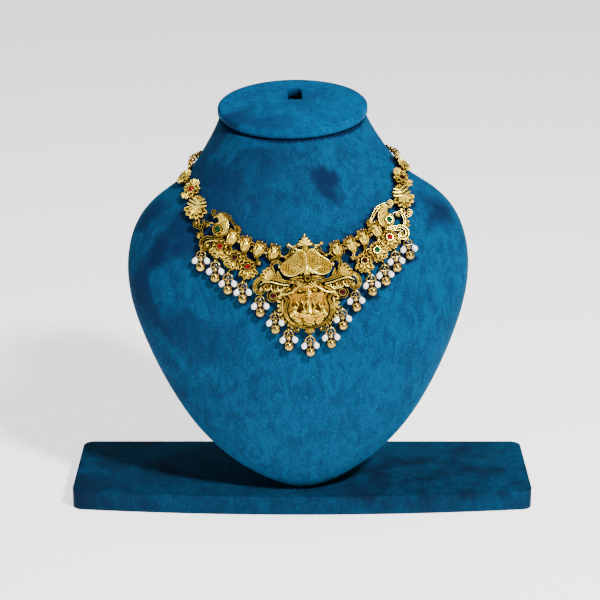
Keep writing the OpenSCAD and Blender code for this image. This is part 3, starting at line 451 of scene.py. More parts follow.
@dataclass(frozen=True)
class Velvet:
    """Crushed velvet with bright nap and darker crushed patches, with painted shade on its left and upper
    side and painted shadow where the attribute pressed marks it.
    """

    name: str = "crushed teal velvet"
    bright: Point = (0.0002, 0.052, 0.124)
    middle: Point = (0.0001, 0.022, 0.062)
    # Dark colour of the crushed patches, also used for the painted shade and the painted shadow.
    pressed: Point = (0.0001, 0.0080, 0.032)
    fleck: Point = (0.004, 0.095, 0.170)
    shade: float = 1.0
    patch_scale: float = 34.0
    pile_scale: float = 1500.0
    brush_scale: float = 190.0
    speck_scale: float = 1050.0
    calm: float = 0.10
    crush_and_shade_range: Point = (0.43, 0.70)
    # Direction and range of the painted shade on the left and upper side of the velvet.
    lean: Point = (1.0, 0.0, -0.45)
    side_shade_range: Point = (-0.150, -0.035)
    rub_share: float = 0.16
    bump_share: float = 0.35
    bump_depth: float = 0.6 * MM
    rubs: tuple[tuple[Point, float], ...] = (
        ((0.013, -0.021, 0.183), 0.0085), ((0.010, -0.020, 0.190), 0.007),
        ((0.014, -0.024, 0.176), 0.008), ((-0.011, -0.015, 0.202), 0.008),
        ((-0.074, -0.028, 0.152), 0.020), ((-0.083, -0.025, 0.145), 0.016),
        ((-0.058, -0.042, 0.127), 0.0055), ((0.070, -0.012, 0.171), 0.011),
        ((0.079, -0.010, 0.166), 0.010), ((0.066, -0.017, 0.158), 0.006),
        ((-0.040, -0.014, 0.186), 0.005), ((0.019, -0.019, 0.189), 0.004),
    )

    def material(self) -> bpy.types.Material:
        """Builds the material.

        Returns:
            The material.
        """
        paint = Paint(self.name)
        place = paint.place()
        patches = paint.noise(place, self.patch_scale, 4.0, 0.6)
        cloud_place = paint.place((1, 1, 0.6), (0.4, 0.3, 0.9))
        cloud = paint.noise(cloud_place, 2.6 * self.patch_scale, 5.0, 0.4)
        pile = paint.noise(place, self.pile_scale, 2.0)
        cover = patches * 0.6 + cloud * 0.4 - self.calm
        for middle, reach in self.rubs:
            away = paint.measure("DISTANCE", place, middle).between(0.10 * reach, 1.8 * reach)
            cover = cover + (1.0 - away) * self.rub_share
        # The attribute pressed holds painted shadow under the cap, in its slot and under and between the
        # castings and drops, which darkens the crushed patches further.
        pressed = (cover + paint.attribute("pressed") * 0.4).between(*self.crush_and_shade_range)
        # Painted shade: the left and upper side of the velvet is darkened, mottled by the patches.
        painted_side_shade = 1.0 - paint.measure("DOT_PRODUCT", place, self.lean).between(*self.side_shade_range)
        mottled = 0.28 + patches.between(0.42, 0.58) * 0.62
        pressed = pressed.over(painted_side_shade * mottled)
        brush = paint.noise(paint.place((1, 1, 0.45), (0.2, 0.7, 0.3)), self.brush_scale, 4.0, 1.2)
        nap = (pile * 0.45 + brush * 0.40 + cloud * 0.15).between(0.38, 0.62)
        specks = paint.noise(place, self.speck_scale, 1.0).between(0.69, 0.76)
        bright, middle, dark, fleck = (
            tuple(self.shade * c for c in colour)
            for colour in (self.bright, self.middle, self.pressed, self.fleck)
        )
        raised = paint.mix(specks, paint.mix(nap, middle, bright), fleck)
        colour = paint.mix(pressed, raised, dark)
        paint.set(
            Base_Color=colour,
            Roughness=0.85,
            Specular_IOR_Level=0.08,
            Sheen_Weight=0.10,
            Sheen_Roughness=0.40,
            Sheen_Tint=(0.02, 0.45, 0.75),
            Normal=paint.bump(pile + pressed * 0.6, self.bump_share, self.bump_depth),
        )
        return paint.material


@dataclass(frozen=True)
class AntiqueGold:
    """Cast gold with dark patina in its hollows, worn bright edges and the painted light that its tone
    attribute carries.
    """

    name: str = "antique gold"
    hollow: Point = (0.004, 0.0020, 0.0005)
    amber: Point = (0.095, 0.050, 0.007)
    panel: Point = (0.34, 0.150, 0.010)
    body: Point = (0.64, 0.410, 0.034)
    worn: Point = (1.0, 0.82, 0.15)
    panel_place: Point = (0.0035, -0.0484, 0.1273)
    panel_reach: float = 0.0125
    rough_hollow: float = 0.50
    rough_worn: float = 0.21
    grain: float = 2600.0
    grain_share: float = 0.25
    cloud_scale: float = 420.0
    cloud_share: float = 0.35
    bump_share: float = 0.30
    bump_depth: float = 0.18 * MM

    def material(self) -> bpy.types.Material:
        """Builds the material, which reads the tone attribute of the castings.

        Returns:
            The material.
        """
        paint = Paint(self.name)
        tone = paint.attribute("tone")
        place = paint.place()
        cloud = paint.noise(place, self.cloud_scale)
        grain = paint.cells(place, self.grain)
        shade = tone + (cloud - 0.5) * self.cloud_share + (grain - 0.35) * self.grain_share
        away = paint.measure("DISTANCE", place, self.panel_place)
        panel = ((0.02, self.hollow), (0.24, self.panel), (0.74, self.body), (1.0, self.worn))
        metal = ((0.25, self.hollow), (0.42, self.amber), (0.58, self.body), (0.84, self.worn))
        colour = paint.mix(
            away.between(0.75 * self.panel_reach, self.panel_reach),
            paint.ramp(shade, *panel),
            paint.ramp(shade, *metal),
        )
        rough = self.rough_hollow - tone.between(0.2, 0.9) * (self.rough_hollow - self.rough_worn)
        paint.set(
            Base_Color=colour,
            Metallic=1.0,
            Roughness=rough,
            Normal=paint.bump(grain, self.bump_share, self.bump_depth),
        )
        return paint.material


@dataclass(frozen=True)
class PolishedGold:
    """Plain polished gold of balls, wires and chain."""

    name: str = "polished gold"
    colour: Point = (0.64, 0.42, 0.085)
    rough: float = 0.16
    cloud_scale: float = 600.0
    dull: float = 0.55

    def material(self) -> bpy.types.Material:
        """Builds the material.

        Returns:
            The material.
        """
        paint = Paint(self.name)
        cloud = paint.noise(paint.place(), self.cloud_scale, 2.0)
        dark = tuple(self.dull * c for c in self.colour)
        paint.set(
            Base_Color=paint.mix(cloud.between(0.4, 0.6), dark, self.colour),
            Metallic=1.0,
            Roughness=self.rough + cloud * 0.1,
        )
        return paint.material


@dataclass(frozen=True)
class Pearl:
    """White pearl with a soft gloss."""

    name: str = "white pearl"
    colour: Point = (0.88, 0.87, 0.85)
    warm: Point = (0.76, 0.72, 0.67)
    cloud_scale: float = 350.0

    def material(self) -> bpy.types.Material:
        """Builds the material.

        Returns:
            The material.
        """
        paint = Paint(self.name)
        cloud = paint.noise(paint.place(), self.cloud_scale, 2.0)
        paint.set(
            Base_Color=paint.mix(cloud.between(0.35, 0.75), self.colour, self.warm),
            Roughness=0.22,
            Coat_Weight=0.5,
            Coat_Roughness=0.08,
        )
        return paint.material


@dataclass(frozen=True)
class Gem:
    """Cut stone of one colour."""

    name: str
    colour: Point
    deep: Point
    flash_scale: float = 900.0

    def material(self) -> bpy.types.Material:
        """Builds the material.

        Returns:
            The material.
        """
        paint = Paint(self.name)
        flash = paint.cells(paint.place(), self.flash_scale)
        paint.set(
            Base_Color=paint.mix(flash.between(0.2, 0.6), self.colour, self.deep),
            Roughness=0.05,
            IOR=1.45,
            Specular_IOR_Level=0.35,
        )
        return paint.material


@dataclass(frozen=True)
class Backdrop:
    """Pale studio floor."""

    name: str = "pale studio floor"
    colour: Point = (0.93, 0.93, 0.93)
    far: Point = (0.10, 0.10, 0.10)
    fade: Point = (1.6, 3.2)
    glow: float = 1.25

    def material(self) -> bpy.types.Material:
        """Builds the material.

        Returns:
            The material.
        """
        paint = Paint(self.name).set(Base_Color=self.colour, Roughness=0.6, Specular_IOR_Level=0.2)
        away = paint.measure("LENGTH", paint.place()).between(*self.fade)
        light = paint.mix(away, self.colour, self.far)
        return paint.set(Emission_Color=light, Emission_Strength=self.glow).material


class Finish(Enum):
    """The finishes of the pieces, each built once."""

    VELVET = Velvet()
    # The cap's velvet is this velvet at 1.5 times its brightness, the board's at 0.6 times.
    CAP = Velvet("lighter teal velvet", shade=1.5, rubs=())
    BOARD = Velvet("pressed teal velvet", shade=0.6, calm=0.0, rubs=())
    GOLD = AntiqueGold()
    WIRE = PolishedGold()
    BALL = PolishedGold("polished gold balls", (0.60, 0.40, 0.085), 0.14)
    PEARL = Pearl()
    RED = Gem("red stone", (0.26, 0.001, 0.004), (0.07, 0.0003, 0.001))
    DARK = Gem("dark red stone", (0.06, 0.0006, 0.002), (0.008, 0.0003, 0.0006))
    GREEN = Gem("green stone", (0.002, 0.075, 0.022), (0.0005, 0.02, 0.006))
    YELLOW = Gem("yellow stone", (0.48, 0.34, 0.02), (0.18, 0.15, 0.01))
    FLOOR = Backdrop()

    def material(self) -> bpy.types.Material:
        """The material, made when it is first asked for."""
        found = bpy.data.materials.get(self.value.name)
        return found or self.value.material()


def dressed(item: bpy.types.Object, finish: Finish) -> bpy.types.Object:
    """Gives an object one finish.

    Args:
        item: The object.
        finish: Its finish.

    Returns:
        The same object.
    """
    item.data.materials.clear()
    item.data.materials.append(finish.material())
    return item


def shown(item: bpy.types.Object, finish: Finish, slot: str, *nodes: str) -> bpy.types.Object:
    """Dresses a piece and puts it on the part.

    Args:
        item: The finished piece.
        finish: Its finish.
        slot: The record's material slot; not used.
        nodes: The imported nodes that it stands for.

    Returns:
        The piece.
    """
    dressed(item, finish)
    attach(item, "root")
    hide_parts(*nodes)
    log.info("%s: %d faces, stands for %s", item.name, len(item.data.polygons), ", ".join(nodes))
    return item


# Bust form: the surface that the necklace lies on

def smoothstep(x: float) -> float:
    """Smooth share between 0 and 1."""
    t = min(max(x, 0.0), 1.0)
    return t * t * (3 - 2 * t)


@dataclass
class BustSurface:
    """The bust form's skin in millimetres, with the drawing grid of the necklace on its chest."""

    height: float = 203.0
    width: float = 192.0
    bulge: float = 33.0
    rake: float = 10.0
    sweep: float = 38.0
    neck_tilt: float = 10.0
    turn: float = 3.0
    lean: float = 1.2
    x: float = 1.5
    front: float = 26.0
    base_t: float = 11.15
    collar_x: float = 2.8
    collar_z: float = 120.0
    collar_turn: float = 0.9
    neck_drift: float = 2.6
    # Share of the height, half width share, front depth share and back depth share
    sections: tuple[Point, ...] = (
        (0.000, 0.060, 0.10, 0.06), (0.017, 0.156, 0.26, 0.12), (0.040, 0.261, 0.38, 0.17),
        (0.085, 0.406, 0.52, 0.21), (0.150, 0.550, 0.66, 0.24), (0.220, 0.664, 0.78, 0.26),
        (0.320, 0.782, 0.90, 0.27), (0.430, 0.885, 0.98, 0.28), (0.530, 0.957, 1.00, 0.29),
        (0.620, 0.981, 0.98, 0.30), (0.700, 0.956, 0.95, 0.36), (0.760, 0.892, 0.93, 0.46),
        (0.805, 0.793, 0.92, 0.58), (0.840, 0.669, 0.93, 0.72), (0.875, 0.586, 0.96, 0.86),
        (0.915, 0.520, 1.00, 0.96), (0.960, 0.456, 1.04, 1.03), (1.000, 0.415, 1.06, 1.06),
    )

    def _slope(self, column: int, row: int) -> float:
        """Slope of a column at a row, from its neighbours."""
        a, b = self.sections[max(row - 1, 0)], self.sections[min(row + 1, len(self.sections) - 1)]
        return (b[column] - a[column]) / (b[0] - a[0])

    def column(self, column: int, share: float) -> float:
        """Smooth value of a column of the sections.

        Args:
            column: 1 for the width, 2 for the front and 3 for the back.
            share: Share of the height.

        Returns:
            The value.
        """
        s = min(max(share, 0.0), 1.0)
        i = min(max(k for k, row in enumerate(self.sections) if row[0] <= s), len(self.sections) - 2)
        a, b = self.sections[i], self.sections[i + 1]
        h = b[0] - a[0]
        t = (s - a[0]) / h
        start = (2 * t**3 - 3 * t**2 + 1) * a[column] + (t**3 - 2 * t**2 + t) * h * self._slope(column, i)
        end = (3 * t**2 - 2 * t**3) * b[column] + (t**3 - t**2) * h * self._slope(column, i + 1)
        return start + end

    def skin(self, angle: float, z: float) -> Vector:
        """Point of the skin.

        Args:
            angle: Angle from the front in degrees.
            z: Height in millimetres.

        Returns:
            The point.
        """
        s = z / self.height
        sine, cosine = math.sin(math.radians(angle)), math.cos(math.radians(angle))
        power = 2 / (5 - 3 * smoothstep((s - 0.6) / 0.25)) if cosine < 0 else 1
        x = self.width / 2 * self.column(1, s) * math.copysign(abs(sine) ** power, sine)
        if cosine < 0:
            depth = self.bulge * self.column(3, s) * (-cosine) ** power
        else:
            depth = -self.bulge * self.column(2, s) * cosine
        rim = self.rake * s + self.sweep * max(0.0, (s - 0.35) / 0.65) ** 1.6
        tilt = smoothstep((s - 0.7) / 0.3) * math.tan(math.radians(self.neck_tilt))
        return Vector((x, rim + depth, z + tilt * depth))

    def normal(self, angle: float, z: float) -> Vector:
        """Outward direction of the skin."""
        here = self.skin(angle, z)
        return (self.skin(angle + 0.5, z) - here).cross(self.skin(angle, z + 0.5) - here).normalized()

    def grid(self, place: Point) -> tuple[float, float]:
        """Where a place on the drawing grid lies.

        Args:
            place: Place on the drawing grid.

        Returns:
            Its sideways place and its height.
        """
        drift = self.neck_drift * max(0.0, place[1] - 30) / 25
        turn = math.radians(self.collar_turn)
        x = self.collar_x - drift + math.cos(turn) * place[0] - math.sin(turn) * place[1]
        return x, self.collar_z + math.sin(turn) * place[0] + math.cos(turn) * place[1]

    def angle(self, x: float, z: float) -> float:
        """Angle from the front of a sideways place at a height, in degrees."""
        return math.degrees(math.asin(x / (self.width / 2 * self.column(1, z / self.height))))

    def stand(self) -> Matrix:
        """Place of the bust form on its board, from millimetres to the row frame.

        Returns:
            The matrix.
        """
        turned = Matrix.Rotation(math.radians(self.turn), 4, "Z") @ Matrix.Rotation(
            math.radians(-self.lean), 4, "Y"
        )
        return Matrix.Scale(MM, 4) @ Matrix.Translation((self.x, -self.front, self.base_t)) @ turned

    def chest(self, place: Point, side: int, lift: float, turn: float = 0.0) -> Matrix:
        """Frame that lies on the chest, from millimetres to the row frame.

        Args:
            place: Place on the drawing grid of one side.
            side: 1 for the right side and -1 for the left, which is a mirror image.
            lift: Height above the velvet.
            turn: Turn in the frame's own plane in degrees.

        Returns:
            The matrix, with x outwards, y upwards and z away from the velvet.
        """
        x, z = self.grid((side * place[0], place[1]))
        angle = self.angle(x, z)
        out = self.normal(angle, z)
        collar = math.radians(self.collar_turn)
        across = Vector((-math.sin(collar), 0, math.cos(collar))).cross(out).normalized()
        up = out.cross(across)
        frame_at = Matrix.Identity(4)
        for row in range(3):
            frame_at[row][0], frame_at[row][1], frame_at[row][2] = across[row], up[row], out[row]
            frame_at[row][3] = self.skin(angle, z)[row] + lift * out[row]
        flip = Matrix.Scale(-1, 4, (1, 0, 0)) if side < 0 else Matrix.Identity(4)
        return self.stand() @ frame_at @ Matrix.Rotation(math.radians(side * turn), 4, "Z") @ flip


# Relief: strokes that are swept along lines drawn on a casting

def arc(place: Point, radius: float, degrees: Iterable[float]) -> list[Point]:
    """Points of a circle in these directions."""
    turns = [math.radians(a) for a in degrees]
    return [(place[0] + radius * math.cos(t), place[1] + radius * math.sin(t)) for t in turns]


class Stroke(Enum):
    """Cross-sections of the strokes, in shares of their width, with the underside at 0."""

    RAIL = (
        (-0.50, 0.0), (-0.50, 0.24), (-0.42, 0.40), (-0.31, 0.40), (-0.22, 0.20), (0.0, 0.10),
        (0.22, 0.20), (0.31, 0.40), (0.42, 0.40), (0.50, 0.24), (0.50, 0.0),
    )
    WIRE = tuple(arc((0.0, 0.5), 0.5, range(250, -110, -36)))
    LEAF = (
        (-0.50, 0.0), (-0.46, 0.20), (-0.36, 0.27), (-0.22, 0.13), (-0.07, 0.12), (0.0, 0.24),
        (0.07, 0.12), (0.22, 0.13), (0.36, 0.27), (0.46, 0.20), (0.50, 0.0),
    )
    HALF = tuple(arc((0.0, 0.0), 0.5, range(180, -1, -20)))
    BEZEL = ((-0.36, 0.0), (-0.36, 1.15), (-0.16, 1.5), (0.12, 1.5), (0.30, 1.2), (0.30, 0.0))


def curve(name: str, dimensions: str = "3D") -> bpy.types.Object:
    """An empty curve object.

    Args:
        name: Its name.
        dimensions: 2D or 3D.

    Returns:
        The curve object.
    """
    bpy.ops.object.select_all(action="DESELECT")
    bpy.ops.curve.primitive_bezier_curve_add(location=(0, 0, 0))
    item = bpy.context.object
    item.name = item.data.name = name
    item.data.splines.clear()
    item.data.dimensions = dimensions
    return item


def add_line(item: bpy.types.Object, points: Sequence[Point], radii: Sequence[float], closed: bool) -> None:
    """Adds one line to a curve object.

    Args:
        item: The curve object.
        points: Places in three dimensions.
        radii: Size of the swept section at each point.
        closed: True if the line comes back to its start.
    """
    line = item.data.splines.new("POLY")
    line.points.add(len(points) - 1)
    flat = [c for p in points for c in (*p, *([0.0] * (3 - len(p))), 1.0)]
    line.points.foreach_set("co", flat)
    line.points.foreach_set("radius", list(radii))
    line.use_cyclic_u = closed


def spline(points: Sequence[Point], steps: int = 4) -> list[Point]:
    """Smooth line through a few points.

    Args:
        points: Places in two or three dimensions.
        steps: Steps from one point to the next.

    Returns:
        The points of the line.
    """
    p = np.array(points, float)
    line = []
    for i in range(len(p) - 1):
        a, b, c, d = p[max(i - 1, 0)], p[i], p[i + 1], p[min(i + 2, len(p) - 1)]
        for t in np.arange(steps) / steps:
            line.append(0.5 * (2 * b + (c - a) * t + (2 * a - 5 * b + 4 * c - d) * t**2
                               + (3 * b - a - 3 * c + d) * t**3))
    return [tuple(q) for q in (*line, p[-1])]


def along(points: Sequence[Point], count: int) -> np.ndarray:
    """Places at equal steps along a smooth line through a few points.

    Args:
        points: A few places that the line goes through.
        count: How many places are wanted.

    Returns:
        The places, one a row.
    """
    line = np.array(spline(points, 8))
    far = np.concatenate(([0.0], np.cumsum(np.linalg.norm(np.diff(line, axis=0), axis=1))))
    steps = np.linspace(0, far[-1], count)
    return np.stack([np.interp(steps, far, line[:, k]) for k in (0, 1)], axis=1)


def turned(points: Iterable[Point], place: Point, turn: float) -> list[Point]:
    """Points turned by an angle in degrees and moved to a place."""
    c, s = math.cos(math.radians(turn)), math.sin(math.radians(turn))
    return [(place[0] + c * p[0] - s * p[1], place[1] + s * p[0] + c * p[1], *p[2:]) for p in points]


def circle(place: Point, radius: float, steps: int = 20) -> list[Point]:
    """Points round a circle."""
    return arc(place, radius, (360 * i / steps for i in range(steps)))


class Relief:
    """Ornament of one casting, drawn in millimetres and swept into meshes."""

    bezel_gap = 0.42
    bead_ring = 1.02
    bead = 0.62
    petal_steps = (0.0, 0.16, 0.34, 0.52, 0.68, 0.82, 0.92, 0.98, 1.0)

    def __init__(self, name: str) -> None:
        """Starts without a stroke.

        Args:
            name: Name of its mesh.
        """
        self.name = name
        self.lines: dict[Stroke, list[tuple[list[Point], list[float], bool]]] = {}
        self.pillows: list[tuple[list[Point], float, float]] = []
        self.shift: Point = (0.0, 0.0)

    def add(self, stroke: Stroke, line: list[Point], widths: Sequence[float], base: float,
            closed: bool = False, both: bool = False) -> None:
        """Adds a stroke along a ready line, its underside at a height.

        Args:
            stroke: Its cross-section.
            line: Points in two dimensions, or three to rise above the base.
            widths: Width at each point.
            base: Height of the underside.
            closed: True for a ring.
            both: True to add its mirror image too.
        """
        x, y = self.shift
        for m in (1, -1)[: 1 + both]:
            raised = [(m * p[0] + x, p[1] + y, base + (p[2] if len(p) > 2 else 0.0)) for p in line]
            self.lines.setdefault(stroke, []).append((raised, list(widths), closed))

    def sweep(self, stroke: Stroke, points: Sequence[Point], widths: Widths, base: float = 0.4,
              both: bool = False) -> None:
        """Adds a stroke along a smooth line, of three widths.

        Args:
            stroke: Its cross-section.
            points: A few places that the line goes through.
            widths: Width at the start, the middle and the end.
            base: Height of the underside.
            both: True to add its mirror image too.
        """
        line = spline(points)
        shares = np.linspace(0, 1, len(line))
        self.add(stroke, line, np.interp(shares, (0, 0.5, 1), widths), base, False, both)

    rail = partialmethod(sweep, Stroke.RAIL)
    wire = partialmethod(sweep, Stroke.WIRE)
    leaf = partialmethod(sweep, Stroke.LEAF)
    half = partialmethod(sweep, Stroke.HALF)

    def petal(self, place: Point, turn: float, length: float, width: float, base: float = 0.4,
              rise: float = 0.0, blunt: bool = True, both: bool = False) -> None:
        """Adds one petal.

        Args:
            place: Its root.
            turn: Its direction in degrees.
            length: Its length.
            width: Its greatest width.
            base: Height of its underside at the root.
            rise: How far its tip rises.
            blunt: True for a round tip, False for a pointed one.
            both: True to add its mirror image too.
        """
        line = [(length * t, 0.0, rise * t * t) for t in self.petal_steps]
        if blunt:
            tips = [math.sqrt(max(0.004, 1 - max(0.0, (t - 0.6) / 0.4) ** 2)) for t in self.petal_steps]
            widths = [width * min(1.0, 0.42 + 0.95 * t) * tip for t, tip in zip(self.petal_steps, tips)]
        else:
            widths = [max(0.12, width * math.sin(math.pi * max(0.1, t) ** 1.3)) for t in self.petal_steps]
        self.add(Stroke.LEAF, turned(line, place, turn), widths, base, False, both)

    def petals(self, place: Point, start: float, end: float, count: int, *form: Any,
               both: bool = False) -> None:
        """Adds a fan of petals from one direction to another, each as petal() makes it."""
        for turn in np.linspace(start, end, count):
            self.petal(place, turn, *form, both=both)

    def knob(self, place: Point, width: float, base: float = 0.4, both: bool = False) -> None:
        """Adds a round knob.

        Args:
            place: Its middle.
            width: Its diameter.
            base: Height of its underside.
            both: True to add its mirror image too.
        """
        shares = np.linspace(-1, 1, 9)
        widths = [max(0.05, width * math.sqrt(max(0.0, 1 - t * t))) for t in shares]
        line = [(place[0] + width / 2 * t, place[1]) for t in shares]
        self.add(Stroke.HALF, line, widths, base, False, both)

    def ring(self, line: list[Point], width: float, base: float = 0.4, both: bool = False) -> None:
        """Adds round wire along a closed line, and its mirror image if asked."""
        self.add(Stroke.WIRE, line, [width] * len(line), base, True, both)

    def bezel(self, place: Point, stone: float, base: float = 0.35) -> None:
        """Adds the setting of a round stone with a ring of small beads round its foot.

        Args:
            place: Middle of the stone.
            stone: Diameter of the stone.
            base: Height of its foot.
        """
        line = circle(place, stone / 2 + self.bezel_gap, 28)
        self.add(Stroke.BEZEL, line, [1.0] * len(line), base, True)
        for p in circle(place, stone / 2 + self.bead_ring, 12):
            self.knob(p, self.bead, base + 0.15)

    def pillow(self, outline: Sequence[Point], depth: float, base: float = 0.5, both: bool = False) -> None:
        """Adds a plate with a rounded edge, and its mirror image if asked."""
        for m in (1, -1)[: 1 + both]:
            self.pillows.append(([(m * p[0], p[1]) for p in outline], depth, base))

    def _pillow_mesh(self, outline: list[Point], depth: float, base: float) -> bpy.types.Object:
        """One filled outline with a rounded edge.

        Args:
            outline: Its outline.
            depth: Radius of its edge.
            base: Height of its middle.

        Returns:
            The mesh.
        """
        item = curve(f"{self.name} plate", "2D")
        add_line(item, outline, [1.0] * len(outline), True)
        data = item.data
        data.fill_mode = "BOTH"
        data.bevel_depth = depth
        data.bevel_resolution = 3
        data.offset = -depth
        pick(item)
        bpy.ops.object.convert(target="MESH")
        mesh = bpy.context.object
        mesh.data.transform(Matrix.Translation((0, 0, base)))
        return tidied(mesh, 1e-3)

    def build(self) -> bpy.types.Object:
        """Sweeps all the strokes and joins them.

        Returns:
            One mesh of closed shells, in millimetres.
        """
        made = [self._pillow_mesh(*pillow) for pillow in self.pillows]
        for stroke, lines in self.lines.items():
            section = curve(f"{self.name} section", "2D")
            add_line(section, [(x, y, 0.0) for x, y in stroke.value], [1.0] * len(stroke.value), True)
            path = curve(f"{self.name} {stroke.name.lower()}")
            path.data.twist_mode = "Z_UP"
            path.data.bevel_mode = "OBJECT"
            path.data.bevel_object = section
            path.data.use_fill_caps = True
            for points, widths, closed in lines:
                add_line(path, points, widths, closed)
            pick(path)
            bpy.ops.object.convert(target="MESH")
            made.append(tidied(bpy.context.object, 1e-4))
            bpy.data.objects.remove(section)
        return joined(made, self.name)


@dataclass(frozen=True)
class Patina:
    """How worn or dark a casting is at each point, from the height of its relief in millimetres, with painted
    light from the way each face turns.
    """

    reach: float = 0.9
    cell: float = 0.18
    floor: float = -0.6
    slope: float = 0.12
    middle: float = 0.37
    depth: float = 0.80
    rise: float = 0.34
    rise_middle: float = 0.75
    rise_top: float = 1.35
    lit: float = 0.10
    lit_middle: float = 0.55

    def write(self, item: bpy.types.Object) -> bpy.types.Object:
        """Writes how far each point stands above its surroundings, which drives the patina, and paints light
        on faces that turn out from the plate.

        Args:
            item: A casting in millimetres, its relief towards +z.

        Returns:
            The same object, with the attribute tone from 0 in a hollow to 1 on an edge.
        """
        co = points_of(item)
        cells = np.floor((co[:, :2] - co[:, :2].min(0) + 2 * self.reach) / self.cell).astype(int)
        height = np.full(cells.max(0) + int(2 * self.reach / self.cell) + 2, self.floor)
        np.maximum.at(height, (cells[:, 0], cells[:, 1]), co[:, 2])
        for _ in range(2):
            for axis in (0, 1):
                for shift in (-1, 1):
                    height = np.maximum(height, np.roll(height, shift, axis) - self.slope)
        for _ in range(max(1, int(self.reach / self.cell / 2))):
            for axis in (0, 1):
                height = (height + np.roll(height, 1, axis) + np.roll(height, -1, axis)) / 3
        above = co[:, 2] - height[cells[:, 0], cells[:, 1]]
        facing = np.zeros(co.size)
        item.data.vertex_normals.foreach_get("vector", facing)
        rise = self.rise * (np.clip(co[:, 2], 0.0, self.rise_top) - self.rise_middle)
        # Painted light: faces that turn out from the plate are lighter, steep flanks darker.
        lit = self.lit * (facing.reshape(-1, 3)[:, 2] - self.lit_middle)
        return noted(item, "tone", np.clip(self.middle + above / self.depth + rise + lit, 0.0, 1.0))


# Castings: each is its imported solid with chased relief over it

@dataclass
class Casting:
    """A cast link, dressed in the frame of its own plate."""

    surface: BustSurface
    node: str = ""
    place: Point = (0.0, 0.0)
    turn: float = 0.0
    lift: float = 2.1
    face: float = 0.6
    stone: float = 2.9
    small_stone: float = 1.9
    neck_rise: float = 0.85
    neck_sink: float = 0.4
    neck_widths: Widths = (1.3, 0.95, 0.95)

    def draw(self, relief: Relief) -> None:
        """Draws the casting's own ornament, which each kind of link does."""
        raise NotImplementedError

    def eyes(self) -> tuple[tuple[int, Point], ...]:
        """Drops that hang from the casting, and where the neck of each eye starts."""
        return ()

    def pressed(self, node: str, to_plate: Matrix) -> bpy.types.Object:
        """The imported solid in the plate's frame, its plain raised borders pressed down to the plate's face.

        Args:
            node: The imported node.
            to_plate: Matrix from the row frame to the plate's millimetres.

        Returns:
            The pressed copy.
        """
        copy = placed(solid_copy(node, f"{node} plate"), to_plate)
        choose(copy, lambda co: co.z > self.face)
        with editing(copy):
            bpy.ops.transform.resize(value=(1, 1, 0), center_override=(0, 0, self.face))
            bpy.ops.mesh.select_all(action="SELECT")
            bpy.ops.mesh.remove_doubles(threshold=0.01)
            bpy.ops.mesh.dissolve_degenerate(threshold=0.005)
        return copy

    def eye(self, drop: "DropShape", number: int, start: Point, side: int, to_plate: Matrix) -> list:
        """The ring that a drop hangs in, with its neck, in the plate's frame.

        Args:
            drop: Sizes and places of the drops.
            number: Which drop hangs here.
            start: Where the neck starts on the casting.
            side: 1 for the right side and -1 for the left.
            to_plate: Matrix from the row frame to the plate's millimetres.

        Returns:
            The meshes.
        """
        place = to_plate @ drop.place(self.surface, number, side)
        ring = started(
            bpy.ops.mesh.primitive_torus_add, major_segments=20, minor_segments=8,
            major_radius=drop.eye_radius, minor_radius=drop.eye_wire / 2, rotation=(0, math.pi / 2, 0),
        )
        applied(ring, "BEVEL", width=0.02, segments=1)
        placed(ring, place @ Matrix.Translation((0, drop.arch_top, 0)))
        end = place @ Vector((0, drop.arch_top + self.neck_rise, -self.neck_sink))
        neck = Relief("neck")
        neck.wire([(*start, 0.0), (end.x, end.y, end.z - 0.1)], self.neck_widths, -0.1)
        return [ring, neck.build()]

    def make(self, side_name: str, drop: "DropShape") -> bpy.types.Object:
        """Builds the casting of one side and puts it on the part.

        Args:
            side_name: left, right, or nothing for a casting in the middle.
            drop: Sizes and places of the drops.

        Returns:
            The finished piece.
        """
        side = SIDES.get(side_name, 1)
        node = f"{side_name}_{self.node}" if side_name else self.node
        plate = self.surface.chest(self.place, side, self.lift, self.turn)
        to_plate = plate.inverted()
        relief = Relief(f"{node} relief")
        self.draw(relief)
        parts = [self.pressed(node, to_plate), relief.build()]
        for number, start in self.eyes():
            for s in (side,) if side_name or number == drop.middle else (1, -1):
                flip = 1 if side_name else s
                parts += self.eye(drop, number, (flip * start[0], start[1]), s, to_plate)
        whole = smooth(Patina().write(joined(parts, f"{node}_cast")), 50)
        return shown(placed(whole, plate), Finish.GOLD, "gold", node)


